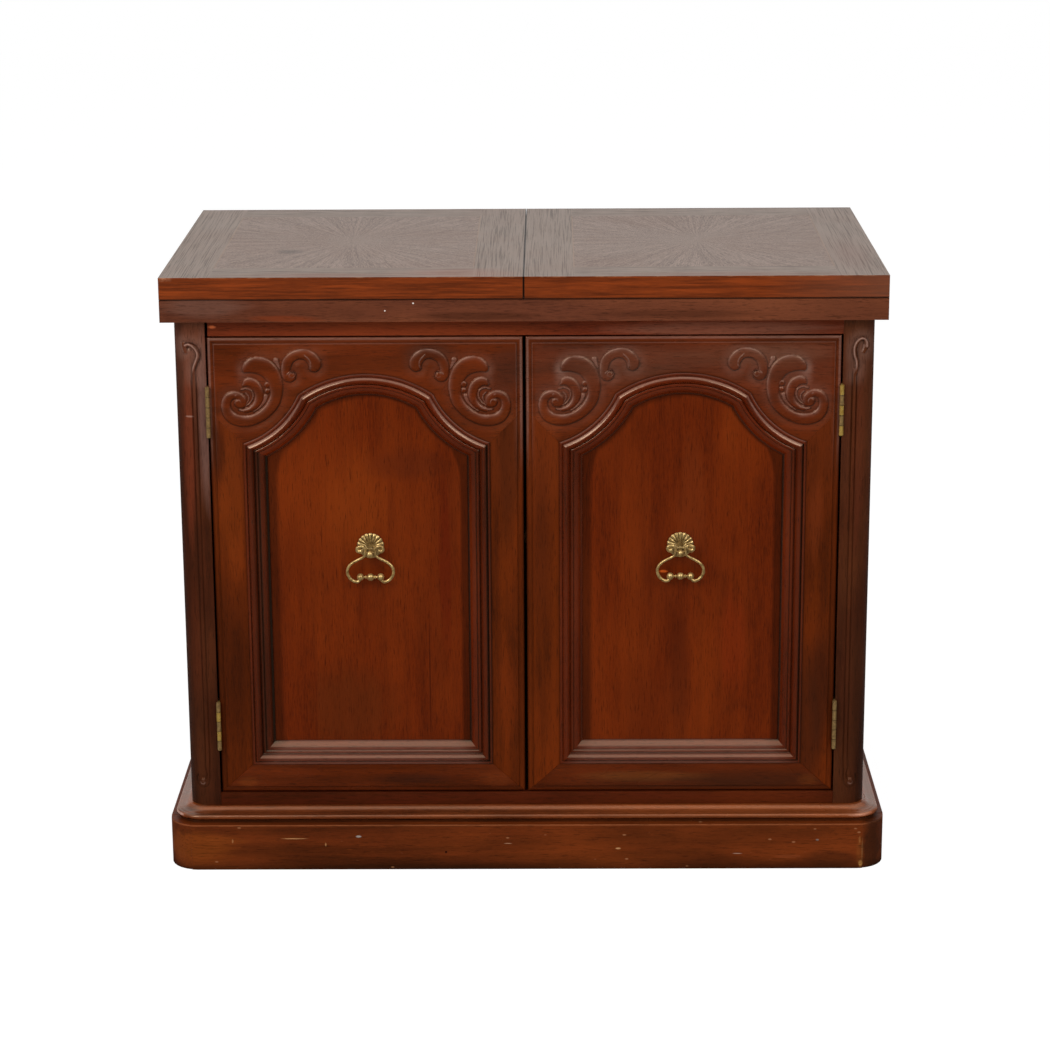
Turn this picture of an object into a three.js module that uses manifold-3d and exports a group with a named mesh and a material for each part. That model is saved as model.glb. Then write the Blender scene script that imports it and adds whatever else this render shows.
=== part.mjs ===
// Two-door bar cabinet whose top folds out: two hinged leaves lie on a fixed board and swing over its ends.
// Millimetres. X runs to the right, Y to the back, Z up. The origin is on the floor, mid footprint.
import * as THREE from 'three';
import { mergeVertices } from 'three/addons/utils/BufferGeometryUtils.js';
import Module from 'manifold-3d';

const wasm = await Module();
wasm.setup();

// Driving dimensions of the whole cabinet
const overall_height = 790;
const top_width = 914.4;
const top_depth = 508;
const top_side_overhang = 12.7;
const top_front_overhang = 20.6;
const plinth_side_reach = 13.5;
const plinth_front_reach = 9.65;

// Joints between pieces: a glue line between fixed faces, and the overrun of every cutter
const glue_line = 0.05;
const cut_overrun = 4;
const merge_distance = 0.0001;

// Folding top: two leaves on one board
const leaf_thickness = 28.3;
const board_thickness = 28.3;
const leaf_rest_gap = 0.4;
const leaf_seam = 0.5;

// Plinth and the moulded deck on it
const plinth_height = 62.7;
const plinth_board = 20;
const plinth_corner_radius = 38;
const plinth_joint_inset = 29.5;
const deck_height = 16.75;

// Case: posts, sides, rails, back and shelf
const post_width = 41;
const post_depth = 45;
const post_corner_radius = 24;
const side_thickness = 19;
const bottom_rail_height = 17.05;
const apron_height = 22;
const apron_thickness = 22;
const apron_end_gap = 3.4;
const back_thickness = 6;
const back_rail_height = 36;
const back_rail_thickness = 19;
const shelf_thickness = 16;
const shelf_front_setback = 12;
const shelf_rise_share = 0.53;
const cleat_height = 14;
const cleat_thickness = 12;
const cleat_end_setback = 20;

// Doors
const door_thickness = 20;
const door_hinge_gap = 2;
const door_meeting_gap = 3.8;
const door_bottom_gap = 1.3;
const door_top_gap = 2;
const stile_width = 42.1;
const door_rail_height = 38.6;
const arch_head_margin = 47.05;
const arch_head_rise = 26.9;
const arch_flank_rise = 63.6;
const arch_cusp_half_width = 86;
const arch_flank_turn = THREE.MathUtils.degToRad(24);
const mould_width = 30;
const mould_reach = 4.2;
const panel_recess = 11;
const panel_thickness = 4.6;
const panel_lap = 7;
const panel_side_play = 0.4;

// Magnetic catches behind the apron, and their strikes on the doors
const catch_width = 38;
const catch_depth = 13;
const catch_height = 30;
const catch_drop = 14;
const catch_from_middle = 30;
const strike_width = 30;
const strike_height = 11;
const strike_thickness = 1;
const strike_top_margin = 2;

// Butt hinges: one pattern, used upright on the doors and flat in the top
const barrel_radius = 2.8;
const hinge_pin_radius = 1.1;
const hinge_bore_radius = 1.5;
const knuckle_count = 5;
const knuckle_gap = 0.3;
const barrel_clearance = 0.3;
const plate_split = 0.2;
const door_hinge_length = 66;
const door_plate_reach = 16;
const door_hinge_from_top = 96;
const door_hinge_from_bottom = 92.6;
const leaf_hinge_length = 50;
const leaf_plate_reach = 24;
const leaf_plate_thickness = 1.5;
const leaf_hinge_from_edge = 70;
const leaf_pivot_outset = 0.4;
const pocket_play = 0.3;

// Drop pulls: fan plate, post with a ball, and a swinging bail
const pull_from_door_middle = 1.75;
const pull_above_middle = 23;
const fan_radius = 17.5;
const fan_focus_rise = 5.2;
const fan_drop = 11;
const fan_petals = 11;
const fan_scallop = 0.9;
const fan_thickness = 2.6;
const pull_shank_radius = 1.9;
const pull_shank_tail = 3.2;
const pull_hole_play = 0.25;
const pull_stem_radius = 3;
const pull_collar_radius = 3.8;
const pull_collar_height = 1.2;
const pull_pivot_reach = 12.5;
const pull_ball_radius = 4.1;
const pull_ball_beyond_pivot = 5;
const pivot_bore_radius = 1.5;
const pivot_stub_radius = 1;
const pivot_stub_gap = 0.8;
const bail_half_width = 29.9;
const bail_drop = 39.4;
const bail_wire_radius = 1.4;
const bail_arm_spread = 6.4;
const bail_knob_spread = 13;
const bail_bar_drop = 33;
const bail_knob_radius = 4.2;
const bail_bar_radius = 1.2;
const bail_bead_radius = 4.9;
const bail_bead_width = 7;
const bail_collar_radius = 2.1;
const bail_collar_spread = 6;

// Counts of facets
const corner_steps = 6;
const flank_steps = 6;
const arch_steps = 10;
const barrel_sides = 12;
const wire_sides = 6;
const bail_steps = 34;

// Places worked out from the sizes above
const half_top = top_width / 2;
const half_case = half_top - top_side_overhang;
const half_plinth = half_top + plinth_side_reach;
const back_y = (top_depth + plinth_front_reach) / 2;
const plinth_front_y = -back_y;
const top_front_y = back_y - top_depth;
const case_front_y = top_front_y + top_front_overhang;
const behind_posts_y = case_front_y + post_depth + glue_line;
const inside_back_y = back_y - back_thickness - glue_line;

const deck_bottom_z = plinth_height + glue_line;
const case_bottom_z = deck_bottom_z + deck_height + glue_line;
const board_bottom_z = overall_height - leaf_thickness - leaf_rest_gap - board_thickness;
const board_top_z = board_bottom_z + board_thickness;
const leaf_bottom_z = board_top_z + leaf_rest_gap;
const seam_z = board_top_z + leaf_rest_gap / 2;
const case_top_z = board_bottom_z - glue_line;
const floor_top_z = case_bottom_z + bottom_rail_height;
const apron_bottom_z = case_top_z - apron_height;
const shelf_bottom_z = floor_top_z + (apron_bottom_z - floor_top_z) * shelf_rise_share;

const half_opening = half_case - post_width;
const half_inside = half_case - side_thickness - glue_line;
const door_width = half_opening - door_hinge_gap - door_meeting_gap / 2;
const half_door = door_width / 2;
const door_middle_x = door_meeting_gap / 2 + half_door;
const door_bottom_z = floor_top_z + door_bottom_gap;
const door_height = apron_bottom_z - door_top_gap - door_bottom_z;
const half_arch = half_door - stile_width;
const arch_peak_height = door_height - arch_head_margin;
const arch_cusp_height = arch_peak_height - arch_head_rise;
const arch_spring_height = arch_cusp_height - arch_flank_rise;
const mitre_top_height = arch_spring_height + stile_width;
const pull_post_height = door_height / 2 + pull_above_middle;

const barrel_proud = barrel_radius + plate_split;
const plate_start = barrel_radius + barrel_clearance;
const door_pivot_x = half_opening - door_hinge_gap / 2;
const door_pivot_y = case_front_y - barrel_proud;
const leaf_pivot_x = half_top + leaf_pivot_outset;

// Materials
function wood(color, roughness) {
  return new THREE.MeshStandardMaterial({ color, roughness, metalness: 0 });
}

const frame_wood = wood(0x5e2412, 0.42);
const panel_wood = wood(0x7a2a12, 0.38);
const top_wood = wood(0x8a5a3c, 0.3);
const board_wood = wood(0x5a2c1c, 0.36);
const plinth_wood = wood(0x5c2814, 0.45);
const inside_wood = wood(0x8c6440, 0.65);
const pull_brass = new THREE.MeshStandardMaterial({ color: 0x8f7a44, roughness: 0.38, metalness: 1 });
const hinge_brass = new THREE.MeshStandardMaterial({ color: 0xb9963e, roughness: 0.32, metalness: 1 });
const catch_steel = new THREE.MeshStandardMaterial({ color: 0x8b8a86, roughness: 0.45, metalness: 0.9 });

// Solids
function toSolid(geometry) {
  const bare = geometry.clone();
  bare.deleteAttribute('normal');
  bare.deleteAttribute('uv');
  const merged = mergeVertices(bare, merge_distance);
  const vertProperties = new Float32Array(merged.attributes.position.array);
  const triVerts = new Uint32Array(merged.index.array);
  return new wasm.Manifold(new wasm.Mesh({ numProp: 3, vertProperties, triVerts }));
}

function fromSolid(solid) {
  const mesh = solid.getMesh();
  const geometry = new THREE.BufferGeometry();
  geometry.setAttribute('position', new THREE.BufferAttribute(new Float32Array(mesh.vertProperties), 3));
  geometry.setIndex(new THREE.BufferAttribute(new Uint32Array(mesh.triVerts), 1));
  geometry.computeVertexNormals();
  return geometry;
}

function cut(geometry, cutters) {
  let solid = toSolid(geometry);
  for (const cutter of cutters) solid = solid.subtract(toSolid(cutter));
  return fromSolid(solid);
}

function fuse(geometries) {
  let solid = toSolid(geometries[0]);
  for (const other of geometries.slice(1)) solid = solid.add(toSolid(other));
  return fromSolid(solid);
}

// A block between two corners.
function block([x0, x1], [y0, y1], [z0, z1]) {
  const geometry = new THREE.BoxGeometry(Math.abs(x1 - x0), Math.abs(y1 - y0), Math.abs(z1 - z0));
  return geometry.translate((x0 + x1) / 2, (y0 + y1) / 2, (z0 + z1) / 2);
}

// An outline in X and Y, raised from one height to another.
function raised(points, z0, z1) {
  const settings = { depth: z1 - z0, bevelEnabled: false };
  const geometry = new THREE.ExtrudeGeometry(new THREE.Shape(points), settings);
  return geometry.translate(0, 0, z0);
}

// An outline in X and Z, seen from the front, thickened from one depth to another.
function upright(points, y0, y1) {
  const settings = { depth: y1 - y0, bevelEnabled: false };
  const geometry = new THREE.ExtrudeGeometry(new THREE.Shape(points), settings);
  return geometry.rotateX(Math.PI / 2).translate(0, y1, 0);
}

// A round bar along one axis, centred on a point.
function bar(radius, length, axis, centre) {
  const geometry = new THREE.CylinderGeometry(radius, radius, length, barrel_sides);
  if (axis === 'x') geometry.rotateZ(Math.PI / 2);
  if (axis === 'z') geometry.rotateX(Math.PI / 2);
  return geometry.translate(...centre);
}

function signedVolume(positions, index) {
  const [a, b, c] = [new THREE.Vector3(), new THREE.Vector3(), new THREE.Vector3()];
  let volume = 0;
  for (let i = 0; i < index.length; i += 3) {
    a.fromArray(positions, index[i] * 3);
    b.fromArray(positions, index[i + 1] * 3);
    c.fromArray(positions, index[i + 2] * 3);
    volume += a.dot(b.cross(c));
  }
  return volume;
}

// A skin through loops of equal count: closed on itself, or with flat ends.
function skin(loops, closed) {
  const count = loops[0].length;
  const positions = loops.flat().flatMap((point) => [point.x, point.y, point.z]);
  const index = [];
  const bands = closed ? loops.length : loops.length - 1;
  for (let band = 0; band < bands; band += 1) {
    const low = band * count;
    const high = ((band + 1) % loops.length) * count;
    for (let i = 0; i < count; i += 1) {
      const j = (i + 1) % count;
      index.push(low + i, low + j, high + j, low + i, high + j, high + i);
    }
  }
  if (!closed) {
    const last = (loops.length - 1) * count;
    for (let i = 1; i < count - 1; i += 1) {
      index.push(0, i + 1, i);
      index.push(last, last + i, last + i + 1);
    }
  }
  if (signedVolume(positions, index) < 0) index.reverse();
  const geometry = new THREE.BufferGeometry();
  geometry.setAttribute('position', new THREE.Float32BufferAttribute(positions, 3));
  geometry.setIndex(index);
  geometry.computeVertexNormals();
  return geometry;
}

function addPiece(group, name, geometry, material) {
  const mesh = new THREE.Mesh(geometry, material);
  mesh.name = name;
  group.add(mesh);
  return mesh;
}

// Butt hinge: the barrel runs along local Z and the plate reaches along local Y.
// The half that holds the pin lies on the plus X side.
function hingeHalf(length, plateThickness, plateReach, holdsPin) {
  const side = holdsPin ? 1 : -1;
  const across = [side * plate_split, side * (plate_split + plateThickness)];
  const pitch = length / knuckle_count;
  const pieces = [block(across, [plate_start, plate_start + plateReach], [-length / 2, length / 2])];
  for (let i = holdsPin ? 0 : 1; i < knuckle_count; i += 2) {
    const low = -length / 2 + i * pitch + knuckle_gap / 2;
    const high = low + pitch - knuckle_gap;
    pieces.push(bar(barrel_radius, high - low, 'z', [0, 0, (low + high) / 2]));
    pieces.push(block(across, [0, plate_start + plateReach / 2], [low, high]));
  }
  if (holdsPin) {
    pieces.push(bar(hinge_pin_radius, length - knuckle_gap, 'z', [0, 0, 0]));
    return fuse(pieces);
  }
  return cut(fuse(pieces), [bar(hinge_bore_radius, length + cut_overrun, 'z', [0, 0, 0])]);
}

function placeHinge(mesh, position, xAxis, yAxis) {
  const zAxis = new THREE.Vector3().crossVectors(xAxis, yAxis);
  mesh.quaternion.setFromRotationMatrix(new THREE.Matrix4().makeBasis(xAxis, yAxis, zAxis));
  mesh.position.copy(position);
}

// Places along the rounding of the right front corner, from the front face round to the side
function plinthArc(start, end) {
  const places = [];
  for (let i = 0; i <= corner_steps; i += 1) {
    const angle = start + (end - start) * (i / corner_steps);
    const x = half_plinth - plinth_corner_radius * (1 - Math.sin(angle));
    places.push([x, plinth_front_y + plinth_corner_radius * (1 - Math.cos(angle))]);
  }
  return places;
}

// Plinth: boards on edge, with a rounded block at each front corner.
// The front board's ends carry the first part of the rounding, up to the joint with the block.
function addPlinth(group) {
  const z = [0, plinth_height];
  const corner_y = plinth_front_y + plinth_corner_radius;
  const joint_x = half_plinth - plinth_joint_inset;
  const joint_angle = Math.asin(1 - plinth_joint_inset / plinth_corner_radius);
  const board_back_y = plinth_front_y + plinth_board;
  const board_end_x = joint_x - glue_line;
  const board_end_angle = Math.asin(1 - (half_plinth - board_end_x) / plinth_corner_radius);
  const board_end = plinthArc(0, board_end_angle);
  const front = [
    new THREE.Vector2(board_end_x, board_back_y),
    new THREE.Vector2(-board_end_x, board_back_y),
    ...board_end.map(([x, y]) => new THREE.Vector2(-x, y)).reverse(),
    ...board_end.map(([x, y]) => new THREE.Vector2(x, y)),
  ];
  addPiece(group, 'plinth_front', raised(front, 0, plinth_height), plinth_wood);
  const inner_x = half_plinth - plinth_board - glue_line;
  addPiece(group, 'plinth_back', block([-inner_x, inner_x], [back_y - plinth_board, back_y], z), plinth_wood);
  for (const [name, side] of [['left', -1], ['right', 1]]) {
    const rounding = plinthArc(joint_angle, Math.PI / 2);
    const points = [[joint_x, corner_y], ...rounding].map(([x, y]) => new THREE.Vector2(side * x, y));
    addPiece(group, `plinth_corner_${name}`, raised(points, 0, plinth_height), plinth_wood);
    const x = [side * (half_plinth - plinth_board), side * half_plinth];
    addPiece(group, `plinth_${name}`, block(x, [corner_y + glue_line, back_y], z), plinth_wood);
  }
}

// Deck: a board whose front and end edges carry a bead under a cove.
// Each row is the edge's inset from the plinth face, then its height, from the underside up.
const deck_step = plinth_front_reach + top_front_overhang;
const deck_edge_shares = [
  [0.33, 0],
  [0.33, 0.19],
  [0.27, 0.27],
  [0.215, 0.4],
  [0.24, 0.53],
  [0.315, 0.62],
  [0.4, 0.65],
  [0.55, 0.69],
  [0.68, 0.77],
  [0.765, 0.915],
  [0.8, 0.925],
  [0.8, 1],
];

function deckLoop(inset, z) {
  const share = inset / deck_step;
  const radius = plinth_corner_radius + (post_corner_radius - plinth_corner_radius) * share;
  const half = half_plinth - inset;
  const front = plinth_front_y + inset;
  const loop = [new THREE.Vector3(half, back_y, z), new THREE.Vector3(-half, back_y, z)];
  for (const side of [-1, 1]) {
    for (let i = 0; i <= corner_steps; i += 1) {
      const turn = (Math.PI / 2) * (i / corner_steps);
      const angle = side < 0 ? turn : Math.PI / 2 - turn;
      const x = half - radius + radius * Math.cos(angle);
      loop.push(new THREE.Vector3(side * x, front + radius - radius * Math.sin(angle), z));
    }
  }
  return loop;
}

function addDeck(group) {
  const loops = deck_edge_shares.map(([inset_share, height_share]) =>
    deckLoop(inset_share * deck_step, deck_bottom_z + height_share * deck_height),
  );
  addPiece(group, 'base_deck', skin(loops, false), plinth_wood);
}

// Front corner posts, round on their outer corner
function addPosts(group) {
  const round_x = half_case - post_corner_radius;
  const round_y = case_front_y + post_corner_radius;
  for (const [name, side] of [['left', -1], ['right', 1]]) {
    const points = [
      new THREE.Vector2(side * half_case, case_front_y + post_depth),
      new THREE.Vector2(side * half_opening, case_front_y + post_depth),
      new THREE.Vector2(side * half_opening, case_front_y),
    ];
    for (let i = 0; i <= corner_steps; i += 1) {
      const angle = (Math.PI / 2) * (i / corner_steps);
      const x = round_x + post_corner_radius * Math.sin(angle);
      points.push(new THREE.Vector2(side * x, round_y - post_corner_radius * Math.cos(angle)));
    }
    addPiece(group, `post_${name}`, raised(points, case_bottom_z, case_top_z), frame_wood);
  }
}

// Case boards: sides, floor, rails, back, and a shelf on two cleats
function addCase(group) {
  const case_z = [case_bottom_z, case_top_z];
  const floor_z = [case_bottom_z, floor_top_z];
  const inside_x = [-half_inside, half_inside];
  const rail_x = half_opening - glue_line;
  const rail_y = [case_front_y, behind_posts_y - glue_line];
  const apron_y = [case_front_y, case_front_y + apron_thickness];
  const apron_x = [-half_opening + apron_end_gap, rail_x];
  addPiece(group, 'bottom_rail', block([-rail_x, rail_x], rail_y, floor_z), frame_wood);
  addPiece(group, 'bottom_panel', block(inside_x, [behind_posts_y, inside_back_y], floor_z), inside_wood);
  addPiece(group, 'apron_front', block(apron_x, apron_y, [apron_bottom_z, case_top_z]), frame_wood);
  addPiece(group, 'back_panel', block(inside_x, [back_y - back_thickness, back_y], case_z), inside_wood);
  const back_rail_y = [inside_back_y - back_rail_thickness, inside_back_y];
  const back_rail_z = [case_top_z - back_rail_height, case_top_z];
  addPiece(group, 'back_rail', block(inside_x, back_rail_y, back_rail_z), inside_wood);
  const shelf_y = [behind_posts_y + shelf_front_setback, inside_back_y];
  const shelf_z = [shelf_bottom_z, shelf_bottom_z + shelf_thickness];
  addPiece(group, 'shelf', block(inside_x, shelf_y, shelf_z), inside_wood);
  for (const [name, side] of [['left', -1], ['right', 1]]) {
    const side_x = [side * (half_case - side_thickness), side * half_case];
    addPiece(group, `side_${name}`, block(side_x, [behind_posts_y, back_y], case_z), frame_wood);
    const cleat_x = [side * (half_inside - cleat_thickness), side * half_inside];
    const cleat_y = [shelf_y[0] + cleat_end_setback, inside_back_y - cleat_end_setback];
    const cleat_z = [shelf_bottom_z - glue_line - cleat_height, shelf_bottom_z - glue_line];
    addPiece(group, `shelf_cleat_${name}`, block(cleat_x, cleat_y, cleat_z), inside_wood);
    const catch_x = side * catch_from_middle;
    const catch_y = apron_y[1] + glue_line;
    const catch_z = apron_bottom_z - catch_drop;
    const catch_block = block(
      [catch_x - catch_width / 2, catch_x + catch_width / 2],
      [catch_y, catch_y + catch_depth],
      [catch_z, catch_z + catch_height],
    );
    addPiece(group, `catch_${name}`, catch_block, catch_steel);
  }
}

// Top: pockets for the hinge plates and round notches for their barrels
const leaf_hinge_ys = [top_front_y + leaf_hinge_from_edge, back_y - leaf_hinge_from_edge];
const leaf_hinge_names = ['front', 'back'];

function topHingeCutters(side, faceZ, into) {
  const cutters = [];
  const half_pocket = leaf_hinge_length / 2 + pocket_play;
  for (const y of leaf_hinge_ys) {
    const inner_x = side * (leaf_pivot_x - plate_start - leaf_plate_reach - pocket_play);
    const outer_x = side * (half_top + cut_overrun);
    const depth = leaf_plate_thickness + glue_line;
    const z = [faceZ + into * depth, faceZ - into * cut_overrun];
    cutters.push(block([inner_x, outer_x], [y - half_pocket, y + half_pocket], z));
    cutters.push(bar(plate_start, 2 * half_pocket, 'y', [side * leaf_pivot_x, y, seam_z]));
  }
  return cutters;
}

function addTopBoard(group) {
  const board = block([-half_top, half_top], [top_front_y, back_y], [board_bottom_z, board_top_z]);
  const cutters = [...topHingeCutters(-1, board_top_z, -1), ...topHingeCutters(1, board_top_z, -1)];
  addPiece(group, 'top_board', cut(board, cutters), board_wood);
}

function addLeaf(group, name, side) {
  const x = [(side * leaf_seam) / 2, side * half_top];
  const leaf = block(x, [top_front_y, back_y], [leaf_bottom_z, overall_height]);
  addPiece(group, `${name}_leaf`, cut(leaf, topHingeCutters(side, leaf_bottom_z, 1)), top_wood);
}

function addLeafHinges(boardGroup, leafGroup, name, side) {
  leaf_hinge_ys.forEach((y, i) => {
    for (const holdsPin of [true, false]) {
      const half = hingeHalf(leaf_hinge_length, leaf_plate_thickness, leaf_plate_reach, holdsPin);
      const owner = holdsPin ? 'board' : 'leaf';
      const label = `${name}_leaf_hinge_${leaf_hinge_names[i]}_${owner}_half`;
      const mesh = addPiece(holdsPin ? boardGroup : leafGroup, label, half, hinge_brass);
      const position = new THREE.Vector3(side * leaf_pivot_x, y, seam_z);
      placeHinge(mesh, position, new THREE.Vector3(0, 0, -1), new THREE.Vector3(-side, 0, 0));
    }
  });
}

// Arched outline of a door's panel, drawn in by an inset: straight sides, hollow flanks and a bowed head.
function onCircle(centre, radius, from, to, steps) {
  const start = Math.atan2(from.y - centre.y, from.x - centre.x);
  const end = Math.atan2(to.y - centre.y, to.x - centre.x);
  const turn = Math.atan2(Math.sin(end - start), Math.cos(end - start));
  const points = [];
  for (let i = 0; i <= steps; i += 1) {
    const angle = start + turn * (i / steps);
    points.push(new THREE.Vector2(centre.x + radius * Math.cos(angle), centre.y + radius * Math.sin(angle)));
  }
  return points;
}

const spring_point = new THREE.Vector2(half_arch, arch_spring_height);
const cusp_point = new THREE.Vector2(arch_cusp_half_width, arch_cusp_height);
const flank_chord = cusp_point.clone().sub(spring_point);
const flank_radius = flank_chord.length() / (2 * Math.sin(arch_flank_turn));
const flank_outward = new THREE.Vector2(flank_chord.y, -flank_chord.x).normalize();
const flank_centre = spring_point
  .clone()
  .add(cusp_point)
  .multiplyScalar(0.5)
  .addScaledVector(flank_outward, flank_radius * Math.cos(arch_flank_turn));
const head_radius = (arch_cusp_half_width ** 2 + arch_head_rise ** 2) / (2 * arch_head_rise);
const head_centre = new THREE.Vector2(0, arch_peak_height - head_radius);

function archHead(inset) {
  const flank = flank_radius + inset;
  const head = head_radius - inset;
  const side_x = half_arch - inset;
  const drop = Math.sqrt(flank ** 2 - (flank_centre.x - side_x) ** 2);
  const spring = new THREE.Vector2(side_x, flank_centre.y - drop);
  const between = flank_centre.clone().sub(head_centre);
  const distance = between.length();
  const along = (head ** 2 - flank ** 2 + distance ** 2) / (2 * distance);
  const off = Math.sqrt(head ** 2 - along ** 2);
  const toward = between.clone().normalize();
  const cusp = head_centre
    .clone()
    .addScaledVector(toward, along)
    .addScaledVector(new THREE.Vector2(-toward.y, toward.x), off);
  const mirrored = (point) => new THREE.Vector2(-point.x, point.y);
  const right = onCircle(flank_centre, flank, spring, cusp, flank_steps);
  const middle = onCircle(head_centre, head, cusp, mirrored(cusp), arch_steps);
  return [...right, ...middle.slice(1, -1), ...right.map(mirrored).reverse()];
}

function archOutline(inset) {
  const bottom = door_rail_height + inset;
  const head = archHead(inset);
  const side_x = half_arch - inset;
  return [new THREE.Vector2(-side_x, bottom), new THREE.Vector2(side_x, bottom), ...head];
}

// Moulding section: inset into the panel, then height over the frame face as a share of the bead
// height, or below it as a share of the panel's recess.
const mould_section_shares = [
  [0, 0.25],
  [0.075, 0.25],
  [0.095, 0.05],
  [0.14, 0.62],
  [0.21, 0.9],
  [0.29, 1],
  [0.37, 0.8],
  [0.45, 0.32],
  [0.505, -0.08],
  [0.52, -0.17],
  [0.55, -0.17],
  [0.56, -0.09],
  [0.62, -0.09],
  [0.635, -0.2],
  [0.76, -0.36],
  [0.92, -0.66],
  [1, -0.72],
];

function mouldingGeometry() {
  const back = panel_recess - glue_line;
  const section = mould_section_shares.map(([inset_share, height_share]) => {
    const scale = height_share > 0 ? mould_reach : panel_recess;
    return [glue_line + inset_share * (mould_width - glue_line), -height_share * scale];
  });
  section.push([mould_width, back], [glue_line, back]);
  const loops = section.map(([inset, y]) => archOutline(inset).map((p) => new THREE.Vector3(p.x, y, p.y)));
  return skin(loops, true);
}

// Door: mitred stiles and rails round an arched panel. Local X starts at the door's middle and Z at its foot.
function addDoor(group, name, side) {
  const at = (u, z) => new THREE.Vector2(side * u, z);
  const frame_y = [0, door_thickness];
  const seat = upright(archOutline(-panel_lap), panel_recess, door_thickness + cut_overrun);
  const mitre = glue_line * Math.SQRT2;
  for (const [label, end] of [['hinge', 1], ['meeting', -1]]) {
    const stile = [
      at(end * half_door, 0),
      at(end * half_door, mitre_top_height),
      at(end * half_arch, arch_spring_height),
      at(end * half_arch, door_rail_height),
    ];
    addPiece(group, `${name}_door_stile_${label}`, cut(upright(stile, ...frame_y), [seat]), frame_wood);
  }
  const rail = [
    at(-half_door + mitre, 0),
    at(half_door - mitre, 0),
    at(half_arch - mitre, door_rail_height),
    at(-half_arch + mitre, door_rail_height),
  ];
  addPiece(group, `${name}_door_rail_bottom`, cut(upright(rail, ...frame_y), [seat]), frame_wood);
  const arched = [
    new THREE.Vector2(-half_door, door_height),
    new THREE.Vector2(-half_door, mitre_top_height + mitre),
    ...archHead(0).reverse().map((point) => new THREE.Vector2(point.x, point.y + mitre)),
    new THREE.Vector2(half_door, mitre_top_height + mitre),
    new THREE.Vector2(half_door, door_height),
  ];
  addPiece(group, `${name}_door_rail_top`, cut(upright(arched, ...frame_y), [seat]), frame_wood);
  addPiece(group, `${name}_door_moulding`, mouldingGeometry(), frame_wood);

  const pull_x = -side * pull_from_door_middle;
  const hole_radius = pull_shank_radius + pull_hole_play;
  const hole = bar(hole_radius, 2 * door_thickness, 'y', [pull_x, panel_recess, pull_post_height]);
  const panel_y = [panel_recess, panel_recess + panel_thickness];
  const panel = upright(archOutline(panel_side_play - panel_lap), ...panel_y);
  addPiece(group, `${name}_door_panel`, cut(panel, [hole]), panel_wood);

  const strike_x = -side * (door_middle_x - catch_from_middle);
  const strike_y = door_thickness + glue_line;
  const strike_z = door_height - strike_top_margin;
  const strike = block(
    [strike_x - strike_width / 2, strike_x + strike_width / 2],
    [strike_y, strike_y + strike_thickness],
    [strike_z - strike_height, strike_z],
  );
  addPiece(group, `${name}_door_strike`, strike, catch_steel);

  const fan = upright(fanOutline(pull_x), panel_recess - glue_line - fan_thickness, panel_recess - glue_line);
  addPiece(group, `${name}_pull_plate`, cut(fan, [hole]), pull_brass);
  const post = pullPost().translate(pull_x, 0, pull_post_height);
  addPiece(group, `${name}_pull_post`, post, pull_brass);
}

function addDoorHinges(caseGroup, doorGroup, name, side) {
  const thickness = door_hinge_gap / 2 - plate_split - glue_line;
  const heights = [door_height - door_hinge_from_top, door_hinge_from_bottom];
  ['upper', 'lower'].forEach((level, i) => {
    for (const holdsPin of [true, false]) {
      const half = hingeHalf(door_hinge_length, thickness, door_plate_reach, holdsPin);
      const owner = holdsPin ? 'post' : 'door';
      const group = holdsPin ? caseGroup : doorGroup;
      const mesh = addPiece(group, `${name}_door_hinge_${level}_${owner}_half`, half, hinge_brass);
      const position = new THREE.Vector3(side * door_pivot_x, door_pivot_y, door_bottom_z + heights[i]);
      if (!holdsPin) position.sub(doorGroup.position);
      placeHinge(mesh, position, new THREE.Vector3(side, 0, 0), new THREE.Vector3(0, 1, 0));
    }
  });
}

// Fan-shaped back plate: scalloped petals above, one smooth lobe below
const fan_low_angle = THREE.MathUtils.degToRad(-18);

function fanOutline(middle_x) {
  const focus_z = pull_post_height + fan_focus_rise;
  const points = [];
  const steps = fan_petals * 4;
  for (let i = 0; i <= steps; i += 1) {
    const angle = fan_low_angle + (Math.PI - 2 * fan_low_angle) * (i / steps);
    const radius = fan_radius - fan_scallop * (1 - Math.abs(Math.sin((Math.PI * fan_petals * i) / steps)));
    points.push(new THREE.Vector2(middle_x + radius * Math.cos(angle), focus_z + radius * Math.sin(angle)));
  }
  const lobe = new THREE.QuadraticBezierCurve(
    points[points.length - 1],
    new THREE.Vector2(middle_x, pull_post_height - 2 * fan_drop),
    points[0],
  );
  return [...points, ...lobe.getPoints(corner_steps * 2).slice(1, -1)];
}

// Post: a turned stem with a ball end, its shank through the plate and panel, and a cross bore for the bail
function pullPost() {
  const seat_y = panel_recess - fan_thickness - 2 * glue_line;
  const tail_y = panel_recess + panel_thickness + pull_shank_tail;
  const pivot_y = panel_recess - pull_pivot_reach;
  const ball_y = pivot_y - pull_ball_beyond_pivot;
  const neck = Math.asin(pull_stem_radius / pull_ball_radius);
  const profile = [
    new THREE.Vector2(0, tail_y),
    new THREE.Vector2(pull_shank_radius, tail_y),
    new THREE.Vector2(pull_shank_radius, seat_y),
    new THREE.Vector2(pull_collar_radius, seat_y),
    new THREE.Vector2(pull_collar_radius, seat_y - pull_collar_height),
    new THREE.Vector2(pull_stem_radius, seat_y - pull_collar_height),
  ];
  for (let i = 0; i <= corner_steps; i += 1) {
    const angle = neck + (Math.PI - neck) * (i / corner_steps);
    const radius = i === corner_steps ? 0 : pull_ball_radius * Math.sin(angle);
    profile.push(new THREE.Vector2(radius, ball_y + pull_ball_radius * Math.cos(angle)));
  }
  const turned = new THREE.LatheGeometry(profile.reverse(), barrel_sides);
  return cut(turned, [bar(pivot_bore_radius, 2 * pull_collar_radius, 'x', [0, pivot_y, 0])]);
}

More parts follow.
